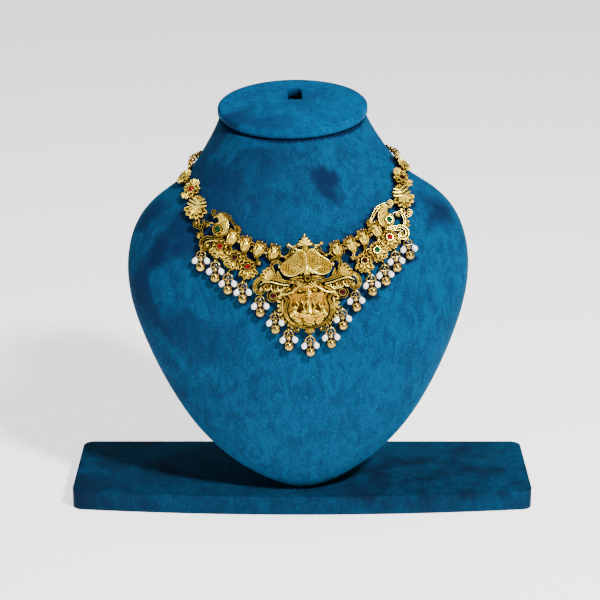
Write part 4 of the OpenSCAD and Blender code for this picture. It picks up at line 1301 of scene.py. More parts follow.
def bud(relief: Relief, place: Point, turn: float) -> None:
    """Draws a lotus bud with a calyx of leaves and two ears.

    Args:
        relief: The relief that it is drawn in.
        place: Its middle.
        turn: Its turn in degrees, tip downwards at 0.
    """
    heights = (-4.7, -3.9, -2.8, -1.8, 0.0, 1.6, 2.6, 3.3)
    widths = (0.1, 1.9, 3.7, 4.7, 5.3, 4.7, 3.7, 2.2)
    ys = np.linspace(heights[0], heights[-1], 15)
    wide = np.interp(ys, heights, widths)

    def at(points: Iterable[Point]) -> list[Point]:
        """The bud's points on the casting."""
        return turned(points, place, turn)

    relief.add(Stroke.HALF, at([(0.0, y) for y in ys]), wide, -0.35)

    def top(x: float, y: float) -> float:
        """Height of the bud's skin."""
        half = np.interp(y, ys, wide) / 2
        return math.sqrt(max(0.02, half * half - x * x)) - 0.15

    def leaf(line: list[Point], sizes: Sequence[float], base: float) -> None:
        """Adds a leaf along a line of the bud."""
        relief.add(Stroke.LEAF, at(spline(line, 2)), sizes, base)

    for m in (-1, 1):
        ear = ((0.1, -4.4), (1.3, -2.4), (1.9, 0.0), (1.75, 2.2), (2.1, 3.9), (2.5, 5.2))
        leaf([(m * x, y, max(top(x, y), 0.9)) for x, y in ear],
             (0.4, 0.9, 1.2, 1.45, 1.6, 1.7, 1.7, 1.6, 1.5, 1.0, 0.4), -0.45)
    leaf([(0, y, top(0, y)) for y in (-4.3, -2.6, -0.8, 1.0, 2.6)],
         (0.4, 1.0, 1.5, 1.9, 2.0, 1.8, 1.4, 0.9, 0.4), -0.4)
    for i in range(5):
        lean = math.radians(90 + 16 * (i - 2))
        tip = (3.9 * math.cos(lean) * 0.9, 1.2 + 3.1 * math.sin(lean), 0.7)
        leaf([(0.25 * tip[0], 1.8, 1.2), (0.6 * tip[0], 3.0, 1.1), tip], (0.5, 0.9, 1.1, 0.8, 0.3), -0.1)
    relief.add(Stroke.HALF, at([(-0.5 + 0.1 * t, 5.2) for t in range(11)]),
               [max(0.1, 1.1 * math.sqrt(max(0, 1 - (t / 5 - 1) ** 2))) for t in range(11)], 0.3)


def rosette(relief: Relief, place: Point, lower: float, stone: float) -> None:
    """Draws layered petals round a stone, the longest ones towards one direction.

    Args:
        relief: The relief that it is drawn in.
        place: Its middle.
        lower: Direction of the long petals in degrees.
        stone: Diameter of the stone.
    """
    relief.petals(place, lower + 78, lower + 282, 6, 4.8, 2.6, 0.35, 0.3, False)
    relief.petals(place, lower - 52, lower + 52, 5, 6.5, 2.7, 0.35, 0.5)
    relief.petals(place, lower - 34, lower + 34, 3, 4.7, 2.0, 0.85, 0.5)
    relief.bezel(place, stone)


@dataclass
class CentrePlaque(Casting):
    """The centre plaque: a seated figure in a lyre-shaped frame under two lobes and a stepped crown."""

    node: str = "centre_plaque"
    lobe: tuple[Point, ...] = (
        (0.2, 21.2), (1.7, 22.9), (4.5, 23.2), (6.2, 21.2), (9.0, 19.0), (12.2, 16.6), (13.4, 13.9),
        (12.3, 11.3), (9.3, 9.9), (5.6, 10.4), (2.6, 12.4), (0.2, 15.2),
    )
    arm: tuple[Point, ...] = (
        (2.5, 5.4), (8.8, 6.4), (13.3, 7.4), (19.1, 9.3), (23.7, 9.6), (26.8, 7.9), (28.0, 5.0),
        (27.2, 2.4), (25.4, 1.4), (23.6, 2.2), (23.3, 4.0), (24.6, 4.9),
    )
    upper_scroll: tuple[Point, ...] = (
        (10.4, 6.6), (14.6, 8.8), (17.4, 11.4), (18.6, 14.4), (17.7, 17.1), (15.2, 17.8), (13.5, 16.4),
        (13.8, 14.8), (14.9, 14.6),
    )
    outer_rail: tuple[Point, ...] = (
        (14.9, -0.5), (12.9, -1.2), (11.3, -3.3), (12.5, -7.6), (12.1, -11.4), (9.9, -14.8), (6.2, -17.0),
        (2.6, -18.2),
    )
    inner_rail: tuple[Point, ...] = (
        (11.0, 0.2), (9.3, -1.6), (8.9, -3.8), (10.1, -7.6), (9.6, -11.0), (7.6, -14.0), (4.4, -16.2),
    )
    top_rail: tuple[Point, ...] = (
        (14.8, 0.3), (12.2, 0.1), (9.4, 0.8), (6.8, 2.4), (4.4, 4.2), (2.4, 5.6),
    )
    leaf_border: tuple[Point, ...] = (
        (8.4, 2.8), (12.0, 1.2), (14.4, -1.8), (15.1, -5.6), (14.5, -9.8), (12.7, -13.4), (10.0, -16.2),
    )
    figure_shift: Point = (0.4, -2.0)
    attendant_shift: Point = (0.0, -1.7)
    arm_rings: tuple[Point, ...] = ((21.2, 4.7, 1.95), (17.6, 3.9, 1.85), (14.2, 3.5, 1.75))
    leaf_stone: Point = (18.6, -0.4)
    crest_stone: Point = (0.0, 24.0)
    navel_stone: Point = (0.4, 7.9)

    def eyes(self) -> tuple[tuple[int, Point], ...]:
        """The four inner drops and the middle one."""
        return (4, (25.1, 3.2)), (5, (14.2, -6.4)), (6, (10.2, -15.3)), (7, (-0.1, -18.9))

    def draw(self, relief: Relief) -> None:
        """Draws the ornament from the crown down.

        Args:
            relief: The casting's relief.
        """
        self._crown(relief)
        self._lobes(relief)
        self._arms(relief)
        self._frame(relief)
        relief.shift = self.figure_shift
        self._figure(relief)
        relief.shift = self.attendant_shift
        self._attendants(relief)
        relief.shift = (0.0, 0.0)
        self._lotus_seat(relief)

    def _crown(self, relief: Relief) -> None:
        """Stepped crown over the crest stone, with ribbons that end in curls.

        Args:
            relief: The casting's relief.
        """
        for y, half, width in ((29.0, 1.4, 1.6), (27.6, 2.7, 1.7), (26.1, 3.7, 1.5)):
            relief.half([(-half, y + 0.3), (0, y - 0.2), (half, y + 0.3)],
                        (0.9 * width, 1.25 * width, 0.9 * width), 0.5)
            relief.knob((half, y + 0.4), 1.0, 0.6, True)
        relief.half([(0, 28.6), (0, 30.0), (0, 31.4)], (2.2, 1.3, 1.2), 0.2)
        relief.knob((0, 31.3), 1.4, 0.3)
        relief.bezel(self.crest_stone, self.small_stone)
        relief.petals((0, 23.2), 200, 340, 6, 2.4, 1.1, 0.7, 0.2)
        relief.rail([(1.6, 26.2), (4.8, 25.5), (7.3, 24.3), (8.1, 22.5), (6.9, 21.5), (5.9, 22.3)],
                    (1.2, 1.5, 0.8), 0.45, True)
        relief.knob((6.5, 22.6), 1.3, 0.6, True)
        relief.wire([(5.2, 25.4), (7.0, 25.3), (8.7, 26.4)], (0.9, 0.9, 0.9), 0.2, True)
        relief.knob((8.8, 26.4), 1.9, 0.3, True)
        relief.wire([(4.2, 23.4), (5.2, 24.2), (6.2, 24.0)], (0.7, 0.7, 0.5), 0.6, True)
        relief.petals((8.2, 19.8), 20, 120, 4, 2.6, 1.2, 0.35, 0.2, both=True)

    def _lobes(self, relief: Relief) -> None:
        """Two stippled lobes with a bright rim, and the palmette where they part.

        Args:
            relief: The casting's relief.
        """
        outline = spline(self.lobe, 3)
        relief.pillow(outline, 0.9, 0.5, True)
        relief.ring(outline, 0.95, 0.5, True)
        upper, lower = along(self.lobe[:7], 36), along((self.lobe[11], *self.lobe[10:5:-1]), 36)
        for share in np.linspace(0.11, 0.89, 10):
            line = [tuple(p) for p in ((1 - share) * upper + share * lower)[3:-4]]
            beads = [0.88 if k % 2 else 0.46 for k in range(len(line))]
            relief.add(Stroke.WIRE, line, beads, 1.04, False, True)
        relief.rail([(-2.6, 22.6), (-0.6, 19.8), (0.5, 16.8), (1.0, 14.0)], (1.2, 1.9, 1.0), 0.9)
        for i in range(6):
            relief.petal((0.2, 14.2), 200 + 28 * i, 5.6 - 0.25 * abs(2.5 - i), 1.35, 1.0)
        for i in range(4):
            relief.wire([(3.0 + 0.4 * i, 13.2 + 0.5 * i), (6.0 + 0.9 * i, 11.4 + 0.8 * i)],
                        (0.3, 0.5, 0.3), 1.3, True)
        relief.half([(0.2, 14.6), (0.1, 12.2), (0.3, 10.0)], (1.0, 2.4, 1.4), 0.7)
        relief.bezel(self.navel_stone, self.small_stone)
        relief.leaf([(1.8, 9.0), (4.2, 8.5), (7.2, 8.0), (9.8, 7.6)], (0.7, 2.0, 0.6), 0.5, True)
        relief.rail([(1.6, 6.6), (3.6, 7.3), (5.4, 6.5), (5.3, 5.0), (4.0, 4.7), (3.5, 5.6)],
                    (0.8, 1.4, 0.7), 0.95, True)
        relief.knob((4.4, 5.8), 1.2, 0.9, True)
        relief.petals((0.4, 8.4), 20, 160, 5, 2.6, 1.1, 0.4, 0.2)

    def _arms(self, relief: Relief) -> None:
        """Two arms that end in volutes, with crescents under them and fans over them.

        Args:
            relief: The casting's relief.
        """
        relief.rail(self.arm, (1.3, 2.7, 1.2), 0.75, True)
        relief.knob((24.9, 3.6), 2.2, 0.5, True)
        relief.wire([(9.5, 4.8), (13.8, 5.5), (18.5, 7.0), (22.4, 7.3), (25.3, 6.0)], (0.6, 0.8, 0.5),
                    0.55, True)
        for x, y, r in self.arm_rings:
            relief.petal((x + 0.2, y + 1.6), -68, 1.7 * r, 1.75 * r, 0.35, 0.2, both=True)
            relief.wire([(x - r, y + 0.9), (x - 0.5 * r, y - 0.7 * r), (x + 0.5 * r, y - 0.9 * r),
                         (x + r, y + 0.3)], (0.5, 0.9, 0.5), 0.6, True)
        relief.rail(self.upper_scroll, (1.0, 2.2, 1.0), 0.7, True)
        relief.knob((14.4, 15.0), 1.7, 0.6, True)
        relief.leaf([(13.2, 7.8), (14.9, 10.2), (15.4, 12.8)], (0.9, 2.1, 0.4), 0.7, True)
        relief.petals((17.8, 8.6), 4, 82, 5, 7.4, 3.1, 0.45, 0.35, both=True)
        relief.petals((17.8, 8.6), 16, 70, 4, 5.6, 2.5, 0.85, 0.35, both=True)
        relief.leaf([(9.4, 3.7), (13.2, 1.8), (16.4, 0.5), (18.4, -0.3)], (1.6, 3.9, 3.4), 0.4, True)
        relief.wire([(10.0, 2.4), (13.6, -0.3), (16.4, -2.4), (19.2, -3.2)], (0.4, 0.6, 0.4), 0.5, True)
        for m in (-1, 1):
            relief.bezel((m * self.leaf_stone[0], self.leaf_stone[1]), self.stone)

    def _frame(self, relief: Relief) -> None:
        """Lyre-shaped frame of two rails inside a leafy border, with its scrolls.

        Args:
            relief: The casting's relief.
        """
        relief.rail(self.outer_rail, (0.9, 2.1, 1.2), 0.75, True)
        relief.rail(self.inner_rail, (0.9, 1.7, 0.9), 0.75, True)
        relief.wire(self.top_rail, (0.7, 1.3, 0.7), 0.75, True)
        relief.half([(13.6, -2.6), (13.9, -6.0), (13.6, -9.8), (11.8, -13.4), (9.2, -16.0)],
                    (1.2, 2.0, 1.2), 0.1, True)
        relief.leaf([(12.6, 0.6), (9.8, 1.6), (7.4, 3.0)], (0.6, 2.2, 0.6), 0.45, True)
        border = spline(self.leaf_border, 2)[3:]
        for i, (x, y) in enumerate(border):
            relief.petal((x - 0.4, y), 35 - 14 * i, 2.2, 1.5, 0.8, 0.2, both=True)
        relief.leaf([(2.4, 5.6), (5.2, 5.2), (8.2, 3.4)], (0.9, 2.0, 0.7), 0.5, True)
        relief.wire([(0.9, 5.4), (2.2, 4.4), (3.9, 3.4), (4.6, 2.0), (3.8, 1.2), (3.1, 2.0)],
                    (0.5, 0.8, 0.5), 0.7, True)
        relief.wire([(5.4, 3.8), (7.4, 2.8), (8.6, 1.2), (7.8, 0.4), (6.8, 1.2)], (0.5, 0.8, 0.5), 0.7,
                    True)
        half = [(4.0, 2.8), (8.6, 0.4), (8.0, -3.6), (9.2, -7.6), (8.2, -11.6), (4.6, -15.0)]
        other = [(-x, y) for x, y in reversed(half)]
        ground = spline([(0.0, 4.4), *half, (0.0, -16.2), *other, (0.0, 4.4)], 3)[:-1]
        relief.pillow(ground, 0.12, 0.62)
        relief.rail([(3.4, -16.6), (6.2, -16.9), (8.0, -18.0), (7.7, -19.6), (6.2, -19.9), (5.7, -18.8)],
                    (1.2, 1.4, 0.7), 0.4, True)
        relief.knob((6.2, -19.0), 1.2, 0.6, True)

    def _figure(self, relief: Relief) -> None:
        """A calm seated figure of a traditional kind with a crown and lotus flowers in the raised hands.

        Args:
            relief: The casting's relief.
        """
        relief.half([(0, -8.6), (0, -6.4), (0, -4.6), (0, -3.2), (0, -1.4)], (4.6, 3.0, 4.2), 0.5)
        relief.half([(-2.6, -2.2), (0, -1.5), (2.6, -2.2)], (1.5, 1.9, 1.5), 0.8)
        relief.wire([(0, -1.8), (0, -0.6)], (1.3, 1.3, 1.3), 1.0)
        relief.half([(0, -1.4), (0, -0.7), (0, 0.4), (0, 1.4), (0, 2.1)], (1.0, 3.5, 2.2), 0.9)
        relief.knob((0.52, 0.42), 0.42, 2.35, True)
        relief.wire([(0.2, 0.75), (0.55, 0.85), (0.95, 0.7)], (0.12, 0.2, 0.1), 2.4, True)
        relief.knob((1.45, 0.1), 0.7, 1.4, True)
        relief.wire([(1.9, -1.6), (3.0, -3.1), (3.9, -1.9), (3.7, 0.1)], (1.2, 1.0, 0.8), 0.8, True)
        relief.petals((3.7, 0.1), 40, 140, 5, 1.7, 0.9, 1.0, 0.3, both=True)
        relief.wire([(1.8, -1.9), (3.0, -4.2), (2.7, -6.0), (1.7, -7.0)], (1.3, 1.1, 0.8), 0.9, True)
        relief.knob((2.9, -3.2), 1.3, 1.0, True)
        relief.half([(-0.4, -8.2), (2.4, -7.9), (4.9, -8.7), (5.4, -9.5)], (2.2, 2.8, 1.6), 0.8, True)
        relief.half([(5.0, -9.3), (2.6, -9.9), (-0.6, -9.7)], (1.9, 1.8, 1.1), 1.0, True)
        for i in range(4):
            relief.wire([(1.2 + i, -7.2 - 0.15 * i), (1.5 + i, -9.4)], (0.2, 0.3, 0.2), 1.9, True)
        relief.wire([(0, 0.55), (0, 0.0)], (0.2, 0.3, 0.4), 2.45)
        relief.wire([(-0.4, -0.42), (0, -0.5), (0.4, -0.42)], (0.12, 0.26, 0.12), 2.25)
        for y, half, width in ((1.7, 1.9, 0.8), (2.6, 1.5, 0.7), (3.4, 1.1, 0.6)):
            relief.wire([(-half, y - 0.15), (0, y + 0.1), (half, y - 0.15)], (0.5, width, 0.5), 1.6)
        relief.half([(0, 1.4), (0, 2.6), (0, 4.6)], (3.5, 2.5, 0.7), 0.8)
        relief.knob((0, 4.7), 0.8, 0.9)
        for radius, y in ((1.1, -1.3), (1.7, -1.5)):
            line = arc((0, y), radius, range(200, 341, 20))
            relief.add(Stroke.WIRE, line, [0.32] * len(line), 2.3)
        for y in (-6.6, -7.3):
            relief.wire([(-1.5, y), (0, y - 0.35), (1.5, y)], (0.35, 0.45, 0.35), 1.9)

    def _attendants(self, relief: Relief) -> None:
        """Two small elephants that face the figure, trunks raised.

        Args:
            relief: The casting's relief.
        """
        relief.half([(5.9, -9.6), (7.4, -8.2), (8.9, -8.8), (9.6, -10.4)], (2.4, 3.3, 1.6), 0.6, True)
        relief.half([(6.4, -6.6), (7.3, -5.6), (8.2, -6.2)], (1.6, 2.4, 1.6), 0.8, True)
        relief.wire([(6.5, -5.8), (5.7, -4.6), (5.8, -3.2), (6.6, -2.4)], (1.1, 0.8, 0.5), 0.7, True)
        relief.leaf([(8.0, -5.2), (8.8, -5.9), (8.9, -7.4)], (0.7, 1.5, 0.6), 1.2, True)
        for x, y in ((6.3, -10.6), (8.3, -11.4)):
            relief.half([(x, y + 1.6), (x, y)], (1.2, 1.1, 1.2), 0.7, True)
        relief.wire([(6.6, -7.6), (7.8, -6.9), (9.0, -7.6)], (0.3, 0.4, 0.3), 2.0, True)

    def _lotus_seat(self, relief: Relief) -> None:
        """Lotus flower that carries the figure, with two layers of petals and a bead row.

        Args:
            relief: The casting's relief.
        """
        relief.half([(-6.8, -11.7), (0, -12.7), (6.8, -11.7)], (1.2, 1.9, 1.2), 0.9)
        relief.petals((2.6, -12.0), -62, -8, 4, 5.6, 2.3, 0.5, 0.5, both=True)
        relief.petals((0, -12.2), -118, -62, 4, 5.2, 2.2, 0.7, 0.5)
        relief.petals((0, -12.4), -150, -30, 6, 3.7, 1.9, 1.15, 0.5)
        for i in range(9):
            relief.knob((-5.2 + 1.3 * i, -12.05 - 0.6 * math.sin(math.pi * i / 8)), 0.8, 1.6)
        relief.rail([(-5.0, -16.9), (0, -18.5), (5.0, -16.9)], (1.0, 1.5, 1.0), 0.5)
        relief.petals((0, -18.2), -135, -45, 5, 3.4, 1.5, 0.5, 0.2)


@dataclass
class BudLink(Casting):
    """A single lotus bud beside the centre plaque."""

    node: str = "bud_link"
    place: Point = (17.0, 20.6)
    turn: float = 12.0

    def draw(self, relief: Relief) -> None:
        """Draws the bud over a fan of leaves.

        Args:
            relief: The casting's relief.
        """
        relief.petals((0, -0.8), 36, 150, 4, 4.9, 2.3, 0.2, 0.3, False)
        bud(relief, (0, -0.2), 8)
        relief.leaf([(-3.6, -1.2), (-2.8, -2.6), (-1.4, -3.6)], (0.8, 1.3, 0.4), 0.4)
        relief.leaf([(3.2, -0.8), (3.0, -2.2), (1.8, -3.2)], (0.8, 1.3, 0.4), 0.4)


@dataclass
class LotusPlaque(Casting):
    """Two lotus buds over a stone rosette."""

    node: str = "lotus_plaque"
    place: Point = (31.0, 20.5)
    lotus_stone: Point = (-0.3, -7.0)

    def eyes(self) -> tuple[tuple[int, Point], ...]:
        """One drop under the rosette."""
        return ((3, (0.0, -12.1)),)

    def draw(self, relief: Relief) -> None:
        """Draws the buds, their leaves, the rosette and its curl.

        Args:
            relief: The casting's relief.
        """
        relief.petals((-6.2, 1.6), 56, 160, 4, 5.0, 2.3, 0.2, 0.3, False)
        relief.petals((0.8, 4.6), 46, 164, 4, 5.0, 2.3, 0.2, 0.3, False)
        bud(relief, (-6.2, 1.8), 24)
        bud(relief, (0.8, 4.8), 12)
        rosette(relief, self.lotus_stone, -95, self.stone)
        relief.rail([(-5.0, -1.6), (-6.0, -3.6), (-5.4, -5.4), (-3.9, -5.2)], (0.9, 1.3, 0.7), 0.35)
        relief.knob((-6.4, -5.2), 1.7, 0.3)
        relief.leaf([(0.9, 0.8), (1.2, -1.2), (0.2, -3.6)], (1.2, 1.9, 1.0), 0.4)
        relief.knob((3.6, -1.2), 1.6, 0.2)
        relief.wire([(1.2, -1.4), (2.4, -1.0), (3.6, -1.2)], (0.8, 0.8, 0.7), 0.2)


@dataclass
class PeacockPlaque(Casting):
    """A peacock over a bud, two stone rosettes, a volute and a scroll towards the neck."""

    node: str = "peacock_plaque"
    place: Point = (44.5, 27.5)
    body: tuple[Point, ...] = (
        (2.7, 12.9), (1.0, 14.1), (-0.9, 13.6), (-3.4, 10.6), (-4.1, 6.6), (-2.8, 3.2), (0.4, 2.0),
        (3.4, 3.4), (4.3, 6.2), (3.3, 8.5), (1.7, 9.4), (1.2, 10.8),
    )
    peacock_stone: Point = (1.5, 5.7)
    outer_stone: Point = (0.3, -3.6)
    inner_stone: Point = (-7.7, -9.7)
    volute: tuple[Point, ...] = (
        (-1.4, 1.2), (3.6, 1.4), (7.8, 1.3), (10.2, -0.4), (10.5, -2.7), (9.2, -4.5), (7.1, -4.9),
        (5.8, -3.6), (6.3, -2.4), (7.4, -2.3),
    )
    neck_scroll: tuple[Point, ...] = (
        (9.2, 1.0), (10.2, 3.8), (10.0, 6.8), (8.8, 9.2), (7.1, 9.2), (6.5, 7.9), (7.2, 7.2),
    )

    def eyes(self) -> tuple[tuple[int, Point], ...]:
        """Three drops under the rosettes and the volute."""
        return (0, (8.6, -3.5)), (1, (0.4, -8.0)), (2, (-7.0, -14.8))

    def draw(self, relief: Relief) -> None:
        """Draws the peacock, the bud, the scrolls and the rosettes.

        Args:
            relief: The casting's relief.
        """
        outline = spline((*self.body, self.body[0]), 3)[:-1]
        relief.pillow(outline, 1.0, 0.5)
        relief.ring(outline, 0.75, 0.5)
        relief.bezel(self.peacock_stone, self.stone, 0.8)
        back, breast = along(self.body[1:7], 34), along((self.body[1], self.body[0], *self.body[:5:-1]), 34)
        for share in np.linspace(0.14, 0.86, 7):
            line = [tuple(p) for p in ((1 - share) * back + share * breast)[4:-3]]
            beads = [0.05 if math.dist(p, self.peacock_stone) < 2.5 else 0.76 if k % 2 else 0.40
                     for k, p in enumerate(line)]
            relief.add(Stroke.WIRE, line, beads, 1.12)
        relief.knob((0.9, 12.6), 0.8, 1.4)
        relief.half([(2.2, 12.8), (3.3, 12.6), (4.0, 11.9)], (1.2, 0.9, 0.2), 0.7)
        relief.rail([(1.4, 13.6), (3.6, 13.2), (4.8, 14.6), (4.3, 16.1), (3.0, 15.8), (3.2, 14.9)],
                    (1.0, 1.2, 0.7), 0.35)
        relief.rail([(1.6, 14.9), (-1.6, 14.2), (-4.4, 12.2), (-6.8, 9.2), (-9.2, 5.4)], (1.0, 1.7, 1.0),
                    0.5)
        relief.petals((-8.2, 5.2), 76, 204, 5, 3.0, 1.3, 0.35, 0.3)
        relief.petals((-3.6, 11.8), 100, 190, 3, 2.4, 1.0, 0.5, 0.2)
        relief.petals((-6.1, 0.6), 46, 164, 4, 5.0, 2.3, 0.2, 0.3, False)
        bud(relief, (-6.1, 0.8), 20)
        relief.rail(self.volute, (1.4, 2.3, 0.9), 0.7)
        relief.knob((7.2, -3.0), 1.7, 0.6)
        relief.wire([(2.0, -0.2), (5.2, -0.4), (8.0, -1.2), (8.4, -3.0)], (0.5, 0.7, 0.4), 0.7)
        relief.petals((9.4, 1.2), 10, 80, 4, 3.6, 1.4, 0.4, 0.3)
        relief.rail(self.neck_scroll, (1.3, 1.7, 0.8), 0.65)
        relief.knob((7.4, 7.9), 1.3, 0.6)
        relief.rail([(9.8, 5.4), (12.0, 6.5), (14.1, 7.5), (14.6, 9.2), (13.3, 9.9), (12.7, 9.0)],
                    (1.3, 1.5, 0.7), 0.4)
        relief.knob((13.4, 9.1), 1.3, 0.5)
        relief.wire([(4.2, 8.9), (5.6, 9.4), (6.4, 8.4), (5.6, 7.6)], (0.5, 0.7, 0.4), 0.5)
        relief.rail([(-3.2, -5.4), (-4.9, -5.6), (-5.6, -7.0)], (0.9, 1.3, 0.9), 0.45)
        relief.knob((-3.8, -6.9), 1.7, 0.5)
        rosette(relief, self.outer_stone, -78, self.stone)
        rosette(relief, self.inner_stone, -55, self.stone)


@dataclass
class FanLink(Casting):
    """A fan of lotus petals under a stepped crown."""

    node: str = "fan_link"
    place: Point = (55.3, 41.2)
    turn: float = 6.0

    def draw(self, relief: Relief) -> None:
        """Draws the petals, then the tiers of the crown.

        Args:
            relief: The casting's relief.
        """
        relief.petals((0.4, 2.2), -162, -18, 6, 7.0, 3.1, 0.3, 0.6)
        relief.petals((0.4, 2.4), -142, -38, 4, 4.8, 2.4, 0.95, 0.6)
        for y, half, width in ((3.0, 5.0, 2.0), (5.0, 4.5, 1.9), (6.6, 3.2, 1.7)):
            relief.half([(0.6 - half, y + 0.7), (0.6, y - 0.5), (0.6 + half, y + 0.7)],
                        (0.6 * width, 0.95 * width, 0.6 * width), 0.75)
            for m in (-1, 1):
                relief.knob((0.6 + m * half, y + 0.8), 1.3, 0.6)
        relief.petals((0.6, 6.6), 40, 140, 4, 2.6, 1.4, 0.6, 0.2)


@dataclass
class FloralLink(Casting):
    """A flower round a stone."""

    node: str = "floral_link"
    place: Point = (56.2, 50.2)
    turn: float = 10.0
    floral_stone: Point = (0.0, 0.0)

    def draw(self, relief: Relief) -> None:
        """Draws two layers of petals round the stone.

        Args:
            relief: The casting's relief.
        """
        relief.petals((0, 0), 0, 300, 6, 5.2, 3.2, 0.35, 0.4)
        relief.petals((0, 0), 30, 330, 6, 3.8, 2.0, 0.9, 0.5, False)
        relief.petals((0, -3.0), -150, -30, 4, 4.0, 2.3, 0.9, 1.0)
        relief.petals((0, 2.8), 38, 142, 4, 4.0, 2.2, 0.9, 1.0)
        relief.knob((4.4, 2.2), 1.5, 1.0, True)
        relief.bezel(self.floral_stone, self.stone)


@dataclass
class ScrollLink(Casting):
    """A link of folded scrolls that carries the chain."""

    node: str = "scroll_link"
    place: Point = (57.1, 55.2)
    turn: float = 20.0

    def draw(self, relief: Relief) -> None:
        """Draws the scrolls round the eye of the link.

        Args:
            relief: The casting's relief.
        """
        relief.rail([(0, -4.2), (3.0, -3.8), (4.0, -1.9), (2.6, -0.6), (1.4, -1.4)], (1.2, 1.8, 0.9),
                    0.35, True)
        relief.ring(circle((0, -1.7), 1.7), 1.1)
        relief.petals((0, -1.4), 18, 162, 6, 4.5, 2.0, 0.6, 0.9)
        relief.petals((0, -3.2), -160, -20, 5, 3.6, 1.9, 0.6, 0.9)
        relief.petals((0, -1.0), -12, 12, 2, 4.4, 1.9, 1.0, 0.4, both=True)


# Drops, pearls, rings and chain

